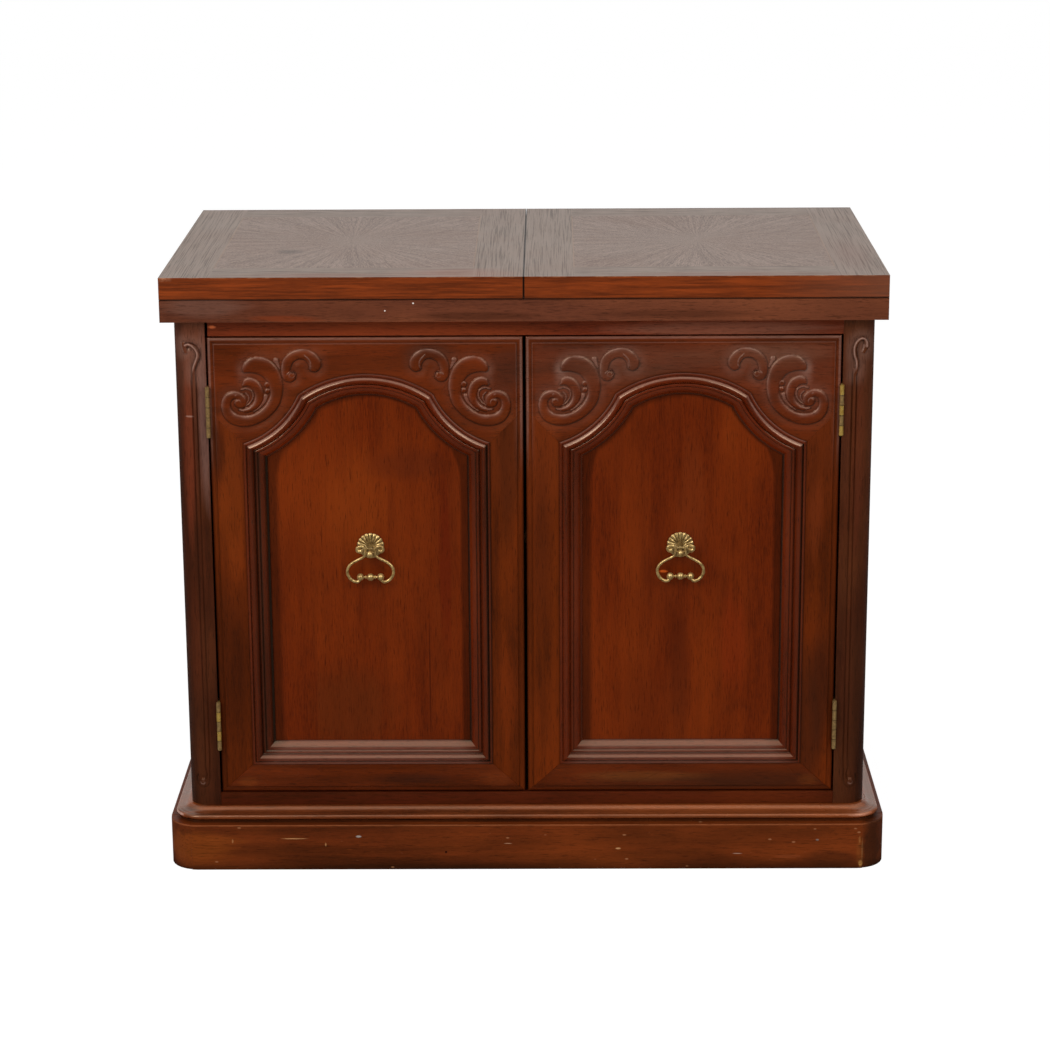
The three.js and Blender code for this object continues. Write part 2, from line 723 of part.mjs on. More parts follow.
// Bail: two bent arms with curled horns, end knobs, and a turned bar between them.
// Each row is a point of the right arm as a share of the half width, then of the drop.
const bail_arm_shares = [
  [0.455, 0.035],
  [0.535, 0.09],
  [0.52, 0.16],
  [0.415, 0.19],
  [0.29, 0.165],
  [0.225, 0.09],
  [0.214, 0],
  [0.25, -0.11],
  [0.37, -0.19],
  [0.57, -0.265],
  [0.78, -0.36],
  [0.94, -0.49],
  [1, -0.645],
  [0.95, -0.8],
  [0.8, -0.94],
  [0.6, -1],
  [0.45, -0.93],
];

function bailGeometry() {
  const pieces = [];
  for (const side of [-1, 1]) {
    const points = bail_arm_shares.map(
      ([x_share, z_share]) => new THREE.Vector3(side * x_share * bail_half_width, 0, z_share * bail_drop),
    );
    const section = [];
    for (let i = 0; i < wire_sides; i += 1) {
      const angle = (2 * Math.PI * i) / wire_sides;
      section.push(new THREE.Vector2(bail_wire_radius * Math.cos(angle), bail_wire_radius * Math.sin(angle)));
    }
    const path = new THREE.CatmullRomCurve3(points);
    const options = { steps: bail_steps, extrudePath: path, bevelEnabled: false };
    pieces.push(new THREE.ExtrudeGeometry(new THREE.Shape(section), options));
    const stub_length = bail_arm_spread - pivot_stub_gap / 2;
    const stub_middle = side * (pivot_stub_gap / 2 + stub_length / 2);
    pieces.push(bar(pivot_stub_radius, stub_length, 'x', [stub_middle, 0, 0]));
    const knob = new THREE.SphereGeometry(bail_knob_radius, barrel_sides, corner_steps);
    pieces.push(knob.translate(side * bail_knob_spread, 0, -bail_bar_drop));
    const collar = new THREE.SphereGeometry(bail_collar_radius, barrel_sides, corner_steps);
    pieces.push(collar.translate(side * bail_collar_spread, 0, -bail_bar_drop));
  }
  pieces.push(bar(bail_bar_radius, 2 * bail_knob_spread, 'x', [0, 0, -bail_bar_drop]));
  const bead = new THREE.SphereGeometry(bail_bead_radius, barrel_sides, corner_steps).rotateZ(Math.PI / 2);
  bead.scale(bail_bead_width / (2 * bail_bead_radius), 1, 1);
  pieces.push(bead.translate(0, 0, -bail_bar_drop));
  return fuse(pieces);
}

// The cabinet put together
const cabinet = new THREE.Group();
const case_group = new THREE.Group();
cabinet.add(case_group);
addPlinth(case_group);
addDeck(case_group);
addPosts(case_group);
addCase(case_group);
addTopBoard(case_group);

for (const [name, side] of [['left', -1], ['right', 1]]) {
  const leaf_group = new THREE.Group();
  cabinet.add(leaf_group);
  addLeaf(leaf_group, name, side);
  addLeafHinges(case_group, leaf_group, name, side);

  const door_group = new THREE.Group();
  door_group.position.set(side * door_middle_x, case_front_y, door_bottom_z);
  cabinet.add(door_group);
  addDoor(door_group, name, side);
  addDoorHinges(case_group, door_group, name, side);

  const bail = addPiece(door_group, `${name}_pull_bail`, bailGeometry(), pull_brass);
  bail.position.set(-side * pull_from_door_middle, panel_recess - pull_pivot_reach, pull_post_height);
}

export default cabinet;
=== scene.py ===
import bpy
import math
import numpy as np
from mathutils import Matrix, Vector


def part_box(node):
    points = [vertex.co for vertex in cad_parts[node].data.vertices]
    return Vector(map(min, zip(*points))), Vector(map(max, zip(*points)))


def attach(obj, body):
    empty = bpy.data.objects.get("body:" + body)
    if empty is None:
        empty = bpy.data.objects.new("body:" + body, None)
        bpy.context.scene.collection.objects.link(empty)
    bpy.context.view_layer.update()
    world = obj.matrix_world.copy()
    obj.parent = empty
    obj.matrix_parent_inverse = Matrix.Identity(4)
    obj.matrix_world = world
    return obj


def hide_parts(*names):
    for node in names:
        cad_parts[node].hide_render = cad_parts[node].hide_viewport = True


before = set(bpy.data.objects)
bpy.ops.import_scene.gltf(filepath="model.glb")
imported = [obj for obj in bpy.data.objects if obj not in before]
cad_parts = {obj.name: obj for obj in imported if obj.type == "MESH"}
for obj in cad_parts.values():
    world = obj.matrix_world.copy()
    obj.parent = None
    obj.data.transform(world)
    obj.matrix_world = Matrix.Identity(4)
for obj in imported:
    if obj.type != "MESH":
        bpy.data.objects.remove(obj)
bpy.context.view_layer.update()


# Camera and studio
# The camera stands where the photograph was taken: straight on, above the top, looking down a little.
# A large soft lamp on each side lights the front, over a white floor in front of a white surround.
CAMERA_PLACE = Vector((0.03312, -3.87885, 1.48592))
CAMERA_PITCH = math.radians(15.666)
CAMERA_YAW = math.radians(-0.522)
CAMERA_ROLL = math.radians(-0.338)
FOCAL_PIXELS = 2950.59
PHOTO_SIDE = 1050
SENSOR_WIDTH = 36
ROOM_LIGHT = 0.42
FLOOR_HALF = 9
FLOOR_TONE = (0.82, 0.82, 0.82, 1)
FLOOR_IN_GLOSS = (0.1, 0.1, 0.1, 1)
FLOOR_GLOW = 1.16
FLOOR_GLOW_SHARE = 0.8
WHITE = (1, 1, 1, 1)

view_ahead = Vector((
    math.sin(CAMERA_YAW) * math.cos(CAMERA_PITCH),
    math.cos(CAMERA_YAW) * math.cos(CAMERA_PITCH),
    -math.sin(CAMERA_PITCH),
))
view_right = Vector((math.cos(CAMERA_YAW), -math.sin(CAMERA_YAW), 0))
view_up = view_right.cross(view_ahead)
tilted_right = view_right * math.cos(CAMERA_ROLL) + view_up * math.sin(CAMERA_ROLL)
tilted_up = view_up * math.cos(CAMERA_ROLL) - view_right * math.sin(CAMERA_ROLL)
camera_data = bpy.data.cameras.new("camera")
camera_data.sensor_width = SENSOR_WIDTH
camera_data.lens = FOCAL_PIXELS / PHOTO_SIDE * SENSOR_WIDTH
camera_data.clip_end = 60
camera = bpy.data.objects.new("camera", camera_data)
camera_rows = [(tilted_right[i], tilted_up[i], -view_ahead[i], CAMERA_PLACE[i]) for i in range(3)]
camera.matrix_world = Matrix(camera_rows + [(0, 0, 0, 1)])
bpy.context.scene.collection.objects.link(camera)
bpy.context.scene.camera = camera
bpy.context.scene.view_settings.view_transform = "Standard"


def soft_lamp(name, place, aim, size, power):
    data = bpy.data.lights.new(name, "AREA")
    data.shape = "RECTANGLE"
    data.size = size[0]
    data.size_y = size[1]
    data.energy = power
    lamp = bpy.data.objects.new(name, data)
    lamp.location = place
    lamp.rotation_euler = (Vector(aim) - Vector(place)).to_track_quat("-Z", "Y").to_euler()
    bpy.context.scene.collection.objects.link(lamp)
    return lamp


soft_lamp("lamp_left", (-2.1, -3.0, 2.5), (-0.1, 0, 0.45), (1.9, 1.9), 70)
soft_lamp("lamp_right", (2.1, -2.9, 2.6), (0.1, 0, 0.45), (1.8, 1.8), 42)
soft_lamp("lamp_above", (0, -0.6, 3.2), (0, -0.1, 0.5), (1.6, 1.0), 20).visible_glossy = False


def blank_finish(name):
    material = bpy.data.materials.new(name)
    material.use_nodes = True
    return material, material.node_tree, material.node_tree.nodes["Principled BSDF"]


def plug(node, inputs):
    """Links a socket, or sets a plain value, on each named or numbered input of a node."""
    for key, value in inputs.items():
        if isinstance(value, bpy.types.NodeSocket):
            node.id_data.links.new(value, node.inputs[key])
        else:
            node.inputs[key].default_value = value


def step(tree, kind, inputs=None, **settings):
    """A new node of a tree with its settings and inputs."""
    made = tree.nodes.new("ShaderNode" + kind)
    for key, value in settings.items():
        setattr(made, key, value)
    plug(made, inputs or {})
    return made


def tree_of(*values):
    """The tree that the sockets among some values belong to."""
    return next(value.id_data for value in values if isinstance(value, bpy.types.NodeSocket))


def maths(kind, *values):
    return step(tree_of(*values), "Math", dict(enumerate(values)), operation=kind).outputs[0]


def ramp(value, low, high, start=0.0, end=1.0, **settings):
    """A value that runs from start to end while the input runs from low to high."""
    inputs = {0: value, 1: low, 2: high, 3: start, 4: end}
    return step(value.id_data, "MapRange", inputs, **settings).outputs[0]


def mix(share, first, second):
    return step(tree_of(share, first, second), "Mix", {0: share, 2: first, 3: second}).outputs[0]


def mix_light(share, first, second):
    return step(first.id_data, "MixShader", {0: share, 1: first, 2: second}).outputs[0]


def axes_of(vector):
    return step(vector.id_data, "SeparateXYZ", {0: vector}).outputs


world = bpy.data.worlds.new("surround")
bpy.context.scene.world = world
world.use_nodes = True
sky = world.node_tree
sky_rays = step(sky, "LightPath").outputs
sky_way = axes_of(step(sky, "TexCoord").outputs["Generated"])
sky_back = ramp(sky_way[1], 0.6, 0.94, 0.1, 1.0)
sky_over = ramp(sky_way[2], 0.45, 0.85, 0.1, 1.3)
sky_gloss = mix(sky_rays["Is Glossy Ray"], ROOM_LIGHT, maths("MAXIMUM", sky_back, sky_over))
sky_level = mix(sky_rays["Is Camera Ray"], sky_gloss, 1.0)
plug(sky.nodes["Background"], {"Color": WHITE, "Strength": sky_level})

floor_corners = [(x * FLOOR_HALF, y * FLOOR_HALF, 0) for x, y in ((-1, -1), (1, -1), (1, 1), (-1, 1))]
floor_mesh = bpy.data.meshes.new("floor")
floor_mesh.from_pydata(floor_corners, [], [(0, 1, 2, 3)])
floor = bpy.data.objects.new("floor", floor_mesh)
bpy.context.scene.collection.objects.link(floor)
floor_finish, floor_tree, floor_shader = blank_finish("floor_white")
plug(floor_shader, {"Base Color": FLOOR_TONE, "Roughness": 1.0, "Specular IOR Level": 0.0})
floor_rays = step(floor_tree, "LightPath").outputs
floor_plain = floor_shader.outputs[0]
floor_glow = step(floor_tree, "Emission", {"Color": WHITE, "Strength": FLOOR_GLOW}).outputs[0]
floor_dull = step(floor_tree, "BsdfDiffuse", {"Color": FLOOR_IN_GLOSS}).outputs[0]
floor_seen = mix_light(FLOOR_GLOW_SHARE, floor_plain, floor_glow)
floor_gloss = mix_light(floor_rays["Is Glossy Ray"], floor_plain, floor_dull)
floor_all = mix_light(floor_rays["Is Camera Ray"], floor_gloss, floor_seen)
plug(floor_tree.nodes["Material Output"], {0: floor_all})
floor_mesh.materials.append(floor_finish)


# Plinth
# Four stained hardwood boards stand on edge round the foot, with a solid quarter-round block at each
# front corner. The finish is the thinnest on the cabinet, and its edges are scuffed and nicked.
MM = 0.001
# Colour of the painted shade in hollows, creases and gaps and on faces turned from the lamps.
PAINTED_SHADE = "140702"
PORE = "160803"
# Colour of the painted highlights on lit rims and crests, also used for lighter worn ground.
HIGHLIGHT_AND_WORN_WOOD = "9a7668"
WARM_SHEEN = (1.0, 0.71, 0.48, 1.0)
COAT_ROUGHNESS = 0.2
UPWARD = 0.7
BACKWARD = 0.5
WELD_GAP = 0.00001


def tint(code):
    """A colour for a node from its six hex digits."""
    parts = [int(code[i:i + 2], 16) / 255 for i in (0, 2, 4)]
    return tuple(p / 12.92 if p <= 0.04045 else ((p + 0.055) / 1.055) ** 2.4 for p in parts) + (1.0,)


def blend(share, first, second):
    """The second colour laid over the first by a share."""
    inputs = {0: share, 6: first, 7: second}
    return step(tree_of(share, first, second), "Mix", inputs, data_type="RGBA").outputs[2]


def noise(vector, scale, detail, rough, distortion=0.0, shift=(0, 0, 0)):
    """Noise over places that are first stretched and moved."""
    tree = vector.id_data
    stretched = step(tree, "Mapping", {"Vector": vector, "Location": shift, "Scale": scale}).outputs[0]
    return step(tree, "TexNoise", {
        "Vector": stretched, "Scale": 1.0, "Detail": detail, "Roughness": rough, "Distortion": distortion,
    }).outputs[0]


def painted(tree, label, output="Fac"):
    """A value that the mesh carries at each point."""
    return step(tree, "Attribute", attribute_name=label).outputs[output]


def length_of(vector):
    return step(vector.id_data, "VectorMath", {0: vector}, operation="LENGTH").outputs["Value"]


def mark_gap(bare, middle, halves):
    """Distance from a mark's middle, 1 at its edge. An axis with no half width isn't counted."""
    shift = [-at / half if half else 0 for at, half in zip(middle, halves)]
    scale = [1 / half / MM if half else 0 for half in halves]
    spot = step(bare.id_data, "Mapping", {"Vector": bare, "Location": shift, "Scale": scale})
    return length_of(spot.outputs[0])


def wood_finish(name, heart, shade, glow, grain="Z", roughness=0.36, coat=0.0, fine=1.0, figure=0.5,
                run=False, shine=0.08, cloudy=0.45, levels=(), marks=(), nicks=None, edge=None):
    """Stained wood: fibres and pores along the grain, soft bands, large warm and dark patches, lacquer.

    A level is (from height, to height, colour, amount).
    A mark is (x, z, half width, half height, colour, amount).
    """
    material, tree, shader = blank_finish(name)
    coordinates = step(tree, "TexCoord").outputs
    bare = coordinates["Object"]
    place = painted(tree, "run", "Vector") if run else bare

    def streaks(lengthwise, across, detail, rough, distortion=0.0, shift=0.0):
        scale = [across * fine] * 3
        scale["XYZ".index(grain)] = lengthwise
        return noise(place, scale, detail, rough, distortion, [shift] * 3)

    fibre = streaks(36, 430, 3.0, 0.8)
    pores = streaks(60, 760, 2.0, 0.7)
    bands = streaks(3.2, 62, 4.0, 0.6, 0.35)
    patch = streaks(2.8, 8.5, 3.0, 0.6)
    deep = streaks(3.4, 11, 3.0, 0.6, 0.2, 7.3)
    fibre_level = ramp(fibre, 0.42, 0.6)
    weave = mix(figure * 0.7, fibre_level, ramp(bands, 0.37, 0.63))
    colour = blend(weave, tint(heart), tint(shade))
    colour = blend(ramp(patch, 0.42, 0.66, 0.0, cloudy), colour, tint(glow))
    colour = blend(ramp(deep, 0.5, 0.72, 0.0, cloudy * 0.7), colour, tint(shade))
    colour = blend(ramp(fibre, 0.58, 0.72, 0.0, 0.34), colour, tint(glow))

    height = axes_of(bare)[2]
    facing = axes_of(coordinates["Normal"])
    upright = maths("LESS_THAN", facing[2], UPWARD)
    forward = maths("LESS_THAN", facing[1], BACKWARD)
    for start, end, code, amount in levels:
        reach = abs(end - start)
        uneven = maths("MULTIPLY_ADD", patch, reach * MM, height)
        share = ramp(uneven, (start + reach / 2) * MM, (end + reach / 2) * MM, 0.0, amount)
        colour = blend(maths("MULTIPLY", share, upright), colour, tint(code))
    for x, z, half_x, half_z, code, amount in marks:
        ragged = maths("MULTIPLY_ADD", bands, 1.6, mark_gap(bare, (x, 0, z), (half_x, 0, half_z)))
        share = ramp(ragged, 1.35, 1.95, amount, 0.0)
        colour = blend(maths("MULTIPLY", share, forward), colour, tint(code))
    # Painted shade carried by the mesh in hollows, creases and gaps and on faces turned from the lamps.
    colour = blend(painted(tree, "painted_shade_and_patina"), colour, tint(PAINTED_SHADE))
    # Painted highlights carried by the mesh on lit rims and crests, with some lighter worn ground.
    colour = blend(painted(tree, "highlight_and_wear"), colour, tint(HIGHLIGHT_AND_WORN_WOOD))
    colour = blend(ramp(pores, 0.28, 0.44, 0.55, 0.0), colour, tint(PORE))
    colour = blend(ramp(fibre, 0.34, 0.5, 0.3, 0.0), colour, tint(PORE))
    if nicks:
        code, across, down, size = nicks
        cells = step(tree, "Mapping", {"Vector": bare, "Scale": (across, across, down)}).outputs[0]
        dots = step(tree, "TexVoronoi", {"Vector": cells, "Scale": 1.0, "Randomness": 1.0}).outputs
        scuffs = streaks(60, 190, 3.0, 0.8, 0.4, 3.1)
        colour = blend(ramp(dots["Distance"], size * 0.5, size, 0.5, 0.0), colour, tint(code))
        colour = blend(ramp(scuffs, 0.7, 0.76, 0.0, 0.35), colour, tint(code))
    # Painted shadow along an edge, where a function for it is given.
    if edge:
        colour = blend(edge(bare), colour, tint("120602"))
    dents = maths("ADD", ramp(pores, 0.26, 0.4), fibre_level)
    bump = step(tree, "Bump", {"Strength": 0.14, "Distance": 0.0002, "Height": dents})
    plug(shader, {
        "Base Color": colour, "Roughness": ramp(patch, 0.3, 0.7, roughness - 0.05, roughness + 0.08),
        "Normal": bump.outputs[0], "Specular IOR Level": shine, "Specular Tint": WARM_SHEEN,
        "Coat Weight": coat, "Coat Roughness": COAT_ROUGHNESS,
    })
    return material


def soften(name, width, material, angle=30):
    """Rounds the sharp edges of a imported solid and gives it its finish."""
    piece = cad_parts[name]
    weld = piece.modifiers.new("weld", "WELD")
    weld.merge_threshold = WELD_GAP
    bevel = piece.modifiers.new("edges", "BEVEL")
    bevel.width = width * MM
    bevel.segments = 3
    bevel.limit_method = "ANGLE"
    bevel.angle_limit = math.radians(angle)
    flatten = piece.modifiers.new("flats", "WEIGHTED_NORMAL")
    flatten.mode = "FACE_AREA"
    flatten.weight = 100
    for polygon in piece.data.polygons:
        polygon.use_smooth = True
    for slot in piece.material_slots:
        slot.material = material
    if not piece.material_slots:
        piece.data.materials.append(material)
    return piece


PLINTH_EDGE = 1.2
PLINTH_LEVELS = [(60.4, 61.4, "9c5c38", 0.5), (16.0, 1.0, "1c0d04", 0.75)]
PLINTH_NICKS = ("a8744e", 30, 64, 0.09)
PLINTH_MARKS = [
    (-106.2, 24.4, 1.5, 1.5, "050301", 1.0), (-220.9, 46.3, 3.4, 1.4, "a59a90", 0.9),
    (-305, 43.6, 15, 0.7, "b08052", 0.8), (-24.7, 36.2, 6, 0.7, "b08868", 0.7),
    (276.6, 21.3, 6, 0.6, "a88c78", 0.7), (381.4, 40.0, 2.0, 1.4, "7c7066", 0.7),
    (120, 28.8, 3, 1.2, "c09060", 0.8), (343.8, 16.9, 16, 2.4, "7c3c1c", 0.5),
    (-386.7, 40.0, 0.9, 2.6, "b08050", 0.6), (-264.4, 34.7, 1.0, 2.6, "b08050", 0.6),
    (438.0, 22.0, 5.0, 22, "7c4018", 0.55), (438.8, 6.5, 2.8, 4.5, "b88448", 0.8),
    (440.6, 26.0, 1.2, 15, "a06a3c", 0.5), (437.0, 40.0, 1.4, 5, "9c6434", 0.5),
    (455.0, 30.0, 15, 60, "2c160a", 0.75), (400.0, 12.0, 36, 12, "2e1408", 0.5),
    (-440, 32, 60, 22, "8a4414", 0.4),
]
PLINTH_TONES = ("682b0e", "381706", "893d14")
plinth_look = dict(roughness=0.44, figure=0.8, cloudy=0.6, levels=PLINTH_LEVELS, nicks=PLINTH_NICKS)
plinth_along = wood_finish("plinth_stain", *PLINTH_TONES, "X", marks=PLINTH_MARKS, **plinth_look)
plinth_ends = wood_finish("plinth_end_stain", *PLINTH_TONES, "Y", **plinth_look)
for name in ("plinth_front", "plinth_back"):
    soften(name, PLINTH_EDGE, plinth_along)
for label in ("left", "right"):
    soften("plinth_" + label, PLINTH_EDGE, plinth_ends)
    soften("plinth_corner_" + label, PLINTH_EDGE, plinth_along, 40)


# Base deck
# A board on the plinth whose front and ends are moulded: a round bead below a cove and a small fillet.
# It follows the rounded front corners of the plinth, and the case stands on its flat top.
PLINTH_ROUND = 38.0
POST_ROUND = 24.0
ROUND_RUN = 30.25
CORNER_STEPS = 16
BEAD_FOOT = 67
COVE_FOOT = (73, 76)
DECK_PROFILE = [
    (10.0, 62.75), (10.0, 65.6), (9.4, 66.6), (8.3, 67.3), (7.2, 68.2), (6.6, 69.4), (6.6, 70.7),
    (7.0, 71.8), (7.8, 72.7), (9.0, 73.3), (10.4, 73.5), (12.0, 73.6), (12.6, 74.0), (13.4, 74.1),
    (16.2, 74.5), (18.8, 75.3), (20.8, 76.5), (22.4, 77.9), (23.2, 78.6), (24.0, 78.7), (24.4, 79.1),
    (24.4, 79.5),
]


def faced_outward(points, faces):
    """The faces of a closed form, all turned over where they face inward."""
    volume = 0.0
    for face in faces:
        a = points[face[0]]
        for i in range(1, len(face) - 1):
            volume += float(np.dot(a, np.cross(points[face[i]], points[face[i + 1]])))
    return [tuple(reversed(face)) for face in faces] if volume < 0 else list(faces)


def put_mesh(name, points, faces, material, body, replaces=(), attributes=None, angle=32):
    """Makes one piece from points in millimetres, turns its faces outward and hands it to its body."""
    points = np.asarray(points, dtype=float) * MM
    faces = faced_outward(points, faces)
    mesh = bpy.data.meshes.new(name)
    mesh.from_pydata(points.tolist(), [], [tuple(face) for face in faces])
    for label, values in (attributes or {}).items():
        values = np.asarray(values, dtype=np.float32)
        if values.ndim == 2:
            mesh.attributes.new(label, "FLOAT_VECTOR", "POINT").data.foreach_set("vector", values.ravel())
        else:
            mesh.attributes.new(label, "FLOAT", "POINT").data.foreach_set("value", values)
    mesh.shade_smooth()
    mesh.set_sharp_from_angle(angle=math.radians(angle))
    mesh.materials.append(material)
    piece = bpy.data.objects.new(name, mesh)
    bpy.context.scene.collection.objects.link(piece)
    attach(piece, body)
    if replaces:
        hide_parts(*replaces)
    return piece


def loft_faces(rows, count, ring=True, caps=True, wrap=False):
    """Quads between neighbouring rows of points, and a flat face on the first and last row."""
    faces = []
    for r in range(rows if wrap else rows - 1):
        low = r * count
        high = ((r + 1) % rows) * count
        for i in range(count if ring else count - 1):
            j = (i + 1) % count
            faces.append((low + i, low + j, high + j, high + i))
    if caps:
        faces.append(tuple(range(count)))
        faces.append(tuple((rows - 1) * count + i for i in reversed(range(count))))
    return faces


plinth_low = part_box("plinth_corner_left")[0]
half_plinth = -plinth_low[0] / MM
plinth_front = plinth_low[1] / MM
back_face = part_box("base_deck")[1][1] / MM
deck_points = []
for inset, height in DECK_PROFILE:
    radius = PLINTH_ROUND + (POST_ROUND - PLINTH_ROUND) * inset / ROUND_RUN
    half = half_plinth - inset
    front = plinth_front + inset
    deck_points += [(half, back_face, height), (-half, back_face, height)]
    for side in (-1, 1):
        for i in range(CORNER_STEPS + 1):
            turn = math.pi / 2 * i / CORNER_STEPS
            angle = turn if side < 0 else math.pi / 2 - turn
            x = half - radius + radius * math.cos(angle)
            deck_points.append((side * x, front + radius - radius * math.sin(angle), height))
# The two pale marks on the rounded bead at the front corners are painted highlights.
DECK_MARKS_AND_HIGHLIGHTS = [
    (-152.0, 66.4, 28, 1.6, "080301", 0.85), (-460.0, 71.2, 8, 1.6, "e4bcac", 0.55),
    (438.0, 71.4, 14, 1.6, "c88c74", 0.4), (-60.0, 70.0, 80, 3.0, "3c1808", 0.35),
    (250.0, 68.0, 120, 3.0, "38160a", 0.4),
]
deck_finish = wood_finish("deck_stain", "8c441f", "421b09", "ae5928", "X", 0.24, shine=0.85, figure=0.8,
                          marks=DECK_MARKS_AND_HIGHLIGHTS)
deck_count = 2 + 2 * (CORNER_STEPS + 1)
# Painted shade under the round bead and, lighter, in the cove.
deck_shade = []
for _, height in DECK_PROFILE:
    cove_shade = 0.35 if COVE_FOOT[0] < height < COVE_FOOT[1] else 0.0
    deck_shade += [0.75 if height < BEAD_FOOT else cove_shade] * deck_count
put_mesh("base_moulding", deck_points, loft_faces(len(DECK_PROFILE), deck_count), deck_finish,
         "case", ["base_deck"], {"painted_shade_and_patina": deck_shade})


# Corner posts
# Solid posts with a large rounding on the outer corner. Each carries a carved scroll at the top that runs
# down into a long reed between two grooves and ends in a small bulb. Painted shade lies in the hollows and on
# the rounding where it turns from the lamps, and painted highlights on the lit side of the ridge and round
# the bulb.
POST_DEPTH = 45.0
REED_HALF = 1.9
REED_RISE = 0.6
REED_TOP = 668
SCROLL_FOOT = 655
SCROLL_TOP = 722
CARVED_FOOT = 132
BULB_RADIUS = 4.0
BULB_RISE = 2.2
POST_ROUND_STEPS = 44
POST_SIDE_DEPTHS = (28.0, 34.0, 40.0, POST_DEPTH)
# How much painted shade lies on each post's rounding where it turns from the lamps.
LEFT_TURNED_SHADE = 0.35
RIGHT_TURNED_SHADE = 0.15
POST_CARVING = {
    "left": {
        "reed": 419.2,
        "ridge": [(427.6, 699.2), (423.2, 700.6), (417.8, 697.4), (413.8, 691.9), (412.8, 686.0),
                  (414.9, 679.4), (417.4, 673.6), (419.0, 668.0), (419.6, 662.6), (419.4, 655.0)],
        "tongue": [(431.4, 702.0), (430.4, 696.5), (428.6, 690.8)],
        "bulb": (426.4, 112.8),
    },
    "right": {
        "reed": 418.4,
        "ridge": [(432.8, 694.0), (432.6, 699.6), (430.4, 703.8), (426.4, 705.0), (422.0, 702.2),
                  (419.0, 697.1), (417.6, 690.7), (418.6, 682.7), (420.6, 676.2), (421.2, 669.0),
                  (420.4, 662.0), (418.8, 655.0)],
        "tongue": [(432.8, 696.0), (431.6, 691.0), (429.6, 687.0)],
        "bulb": (425.6, 110.8),
    },
}


def flow(points, count):
    """A smooth line through the given points."""
    p = np.asarray(points, dtype=float)
    p = np.vstack([2 * p[0] - p[1], p, 2 * p[-1] - p[-2]])
    pieces = len(p) - 3
    out = []
    for k in np.linspace(0, pieces, count):
        i = min(int(k), pieces - 1)
        t = k - i
        a, b, c, d = p[i:i + 4]
        bend = (2 * a - 5 * b + 4 * c - d) * t * t + (3 * b - a - 3 * c + d) * t ** 3
        out.append(0.5 * (2 * b + (c - a) * t + bend))
    return np.array(out)


def way_to(line, places):
    """Shortest distance from each place to a broken line, and the direction of its nearest point."""
    best = np.full(len(places), 1e9)
    ways = np.zeros((len(places), 2))
    for a, b in zip(line[:-1], line[1:]):
        ab = b - a
        t = np.clip(((places - a) @ ab) / max(float(ab @ ab), 1e-12), 0, 1)
        apart = a + t[:, None] * ab - places
        gap = np.hypot(*apart.T)
        closer = gap < best
        best[closer] = gap[closer]
        ways[closer] = apart[closer] / np.maximum(gap[closer], 1e-9)[:, None]
    return best, ways


def gap_to(line, places):
    return way_to(line, places)[0]


def eased(value):
    value = np.clip(value, 0, 1)
    return value * value * (3 - 2 * value)


def fall(gap, width):
    """1 at no distance, softly down to nothing at about twice the width."""
    return np.exp(-(gap / width) ** 2)


def rounded(gap, radius):
    """The height of a round back over its middle line, as a share of its rise."""
    return np.sqrt(np.clip(1 - (gap / radius) ** 2, 0, 1))


case_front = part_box("post_left")[0][1] / MM
post_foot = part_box("post_left")[0][2] / MM
post_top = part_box("post_left")[1][2] / MM
half_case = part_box("post_right")[1][0] / MM
post_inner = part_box("post_right")[0][0] / MM
round_start = half_case - POST_ROUND

outline = [(post_inner, 0.0)]
outline += [(x, 0.0) for x in np.arange(post_inner + 1.2, round_start, 0.8)]
for i in range(POST_ROUND_STEPS + 1):
    turn = math.pi / 2 * i / POST_ROUND_STEPS
    outline.append((round_start + POST_ROUND * math.sin(turn), POST_ROUND - POST_ROUND * math.cos(turn)))
outline += [(half_case, y) for y in POST_SIDE_DEPTHS]
outline = np.array(outline)
inward = np.zeros_like(outline)
for k, (x, y) in enumerate(outline):
    if y < 1e-6:
        inward[k] = (0, 1)
    elif y >= POST_ROUND:
        inward[k] = (-1, 0)
    else:
        inward[k] = ((round_start - x) / POST_ROUND, (POST_ROUND - y) / POST_ROUND)
levels = np.concatenate([
    np.linspace(post_foot, CARVED_FOOT, 60),
    np.linspace(CARVED_FOOT, SCROLL_FOOT, 44)[1:],
    np.linspace(SCROLL_FOOT, SCROLL_TOP, 100)[1:],
    np.linspace(SCROLL_TOP, post_top, 6)[1:],
])


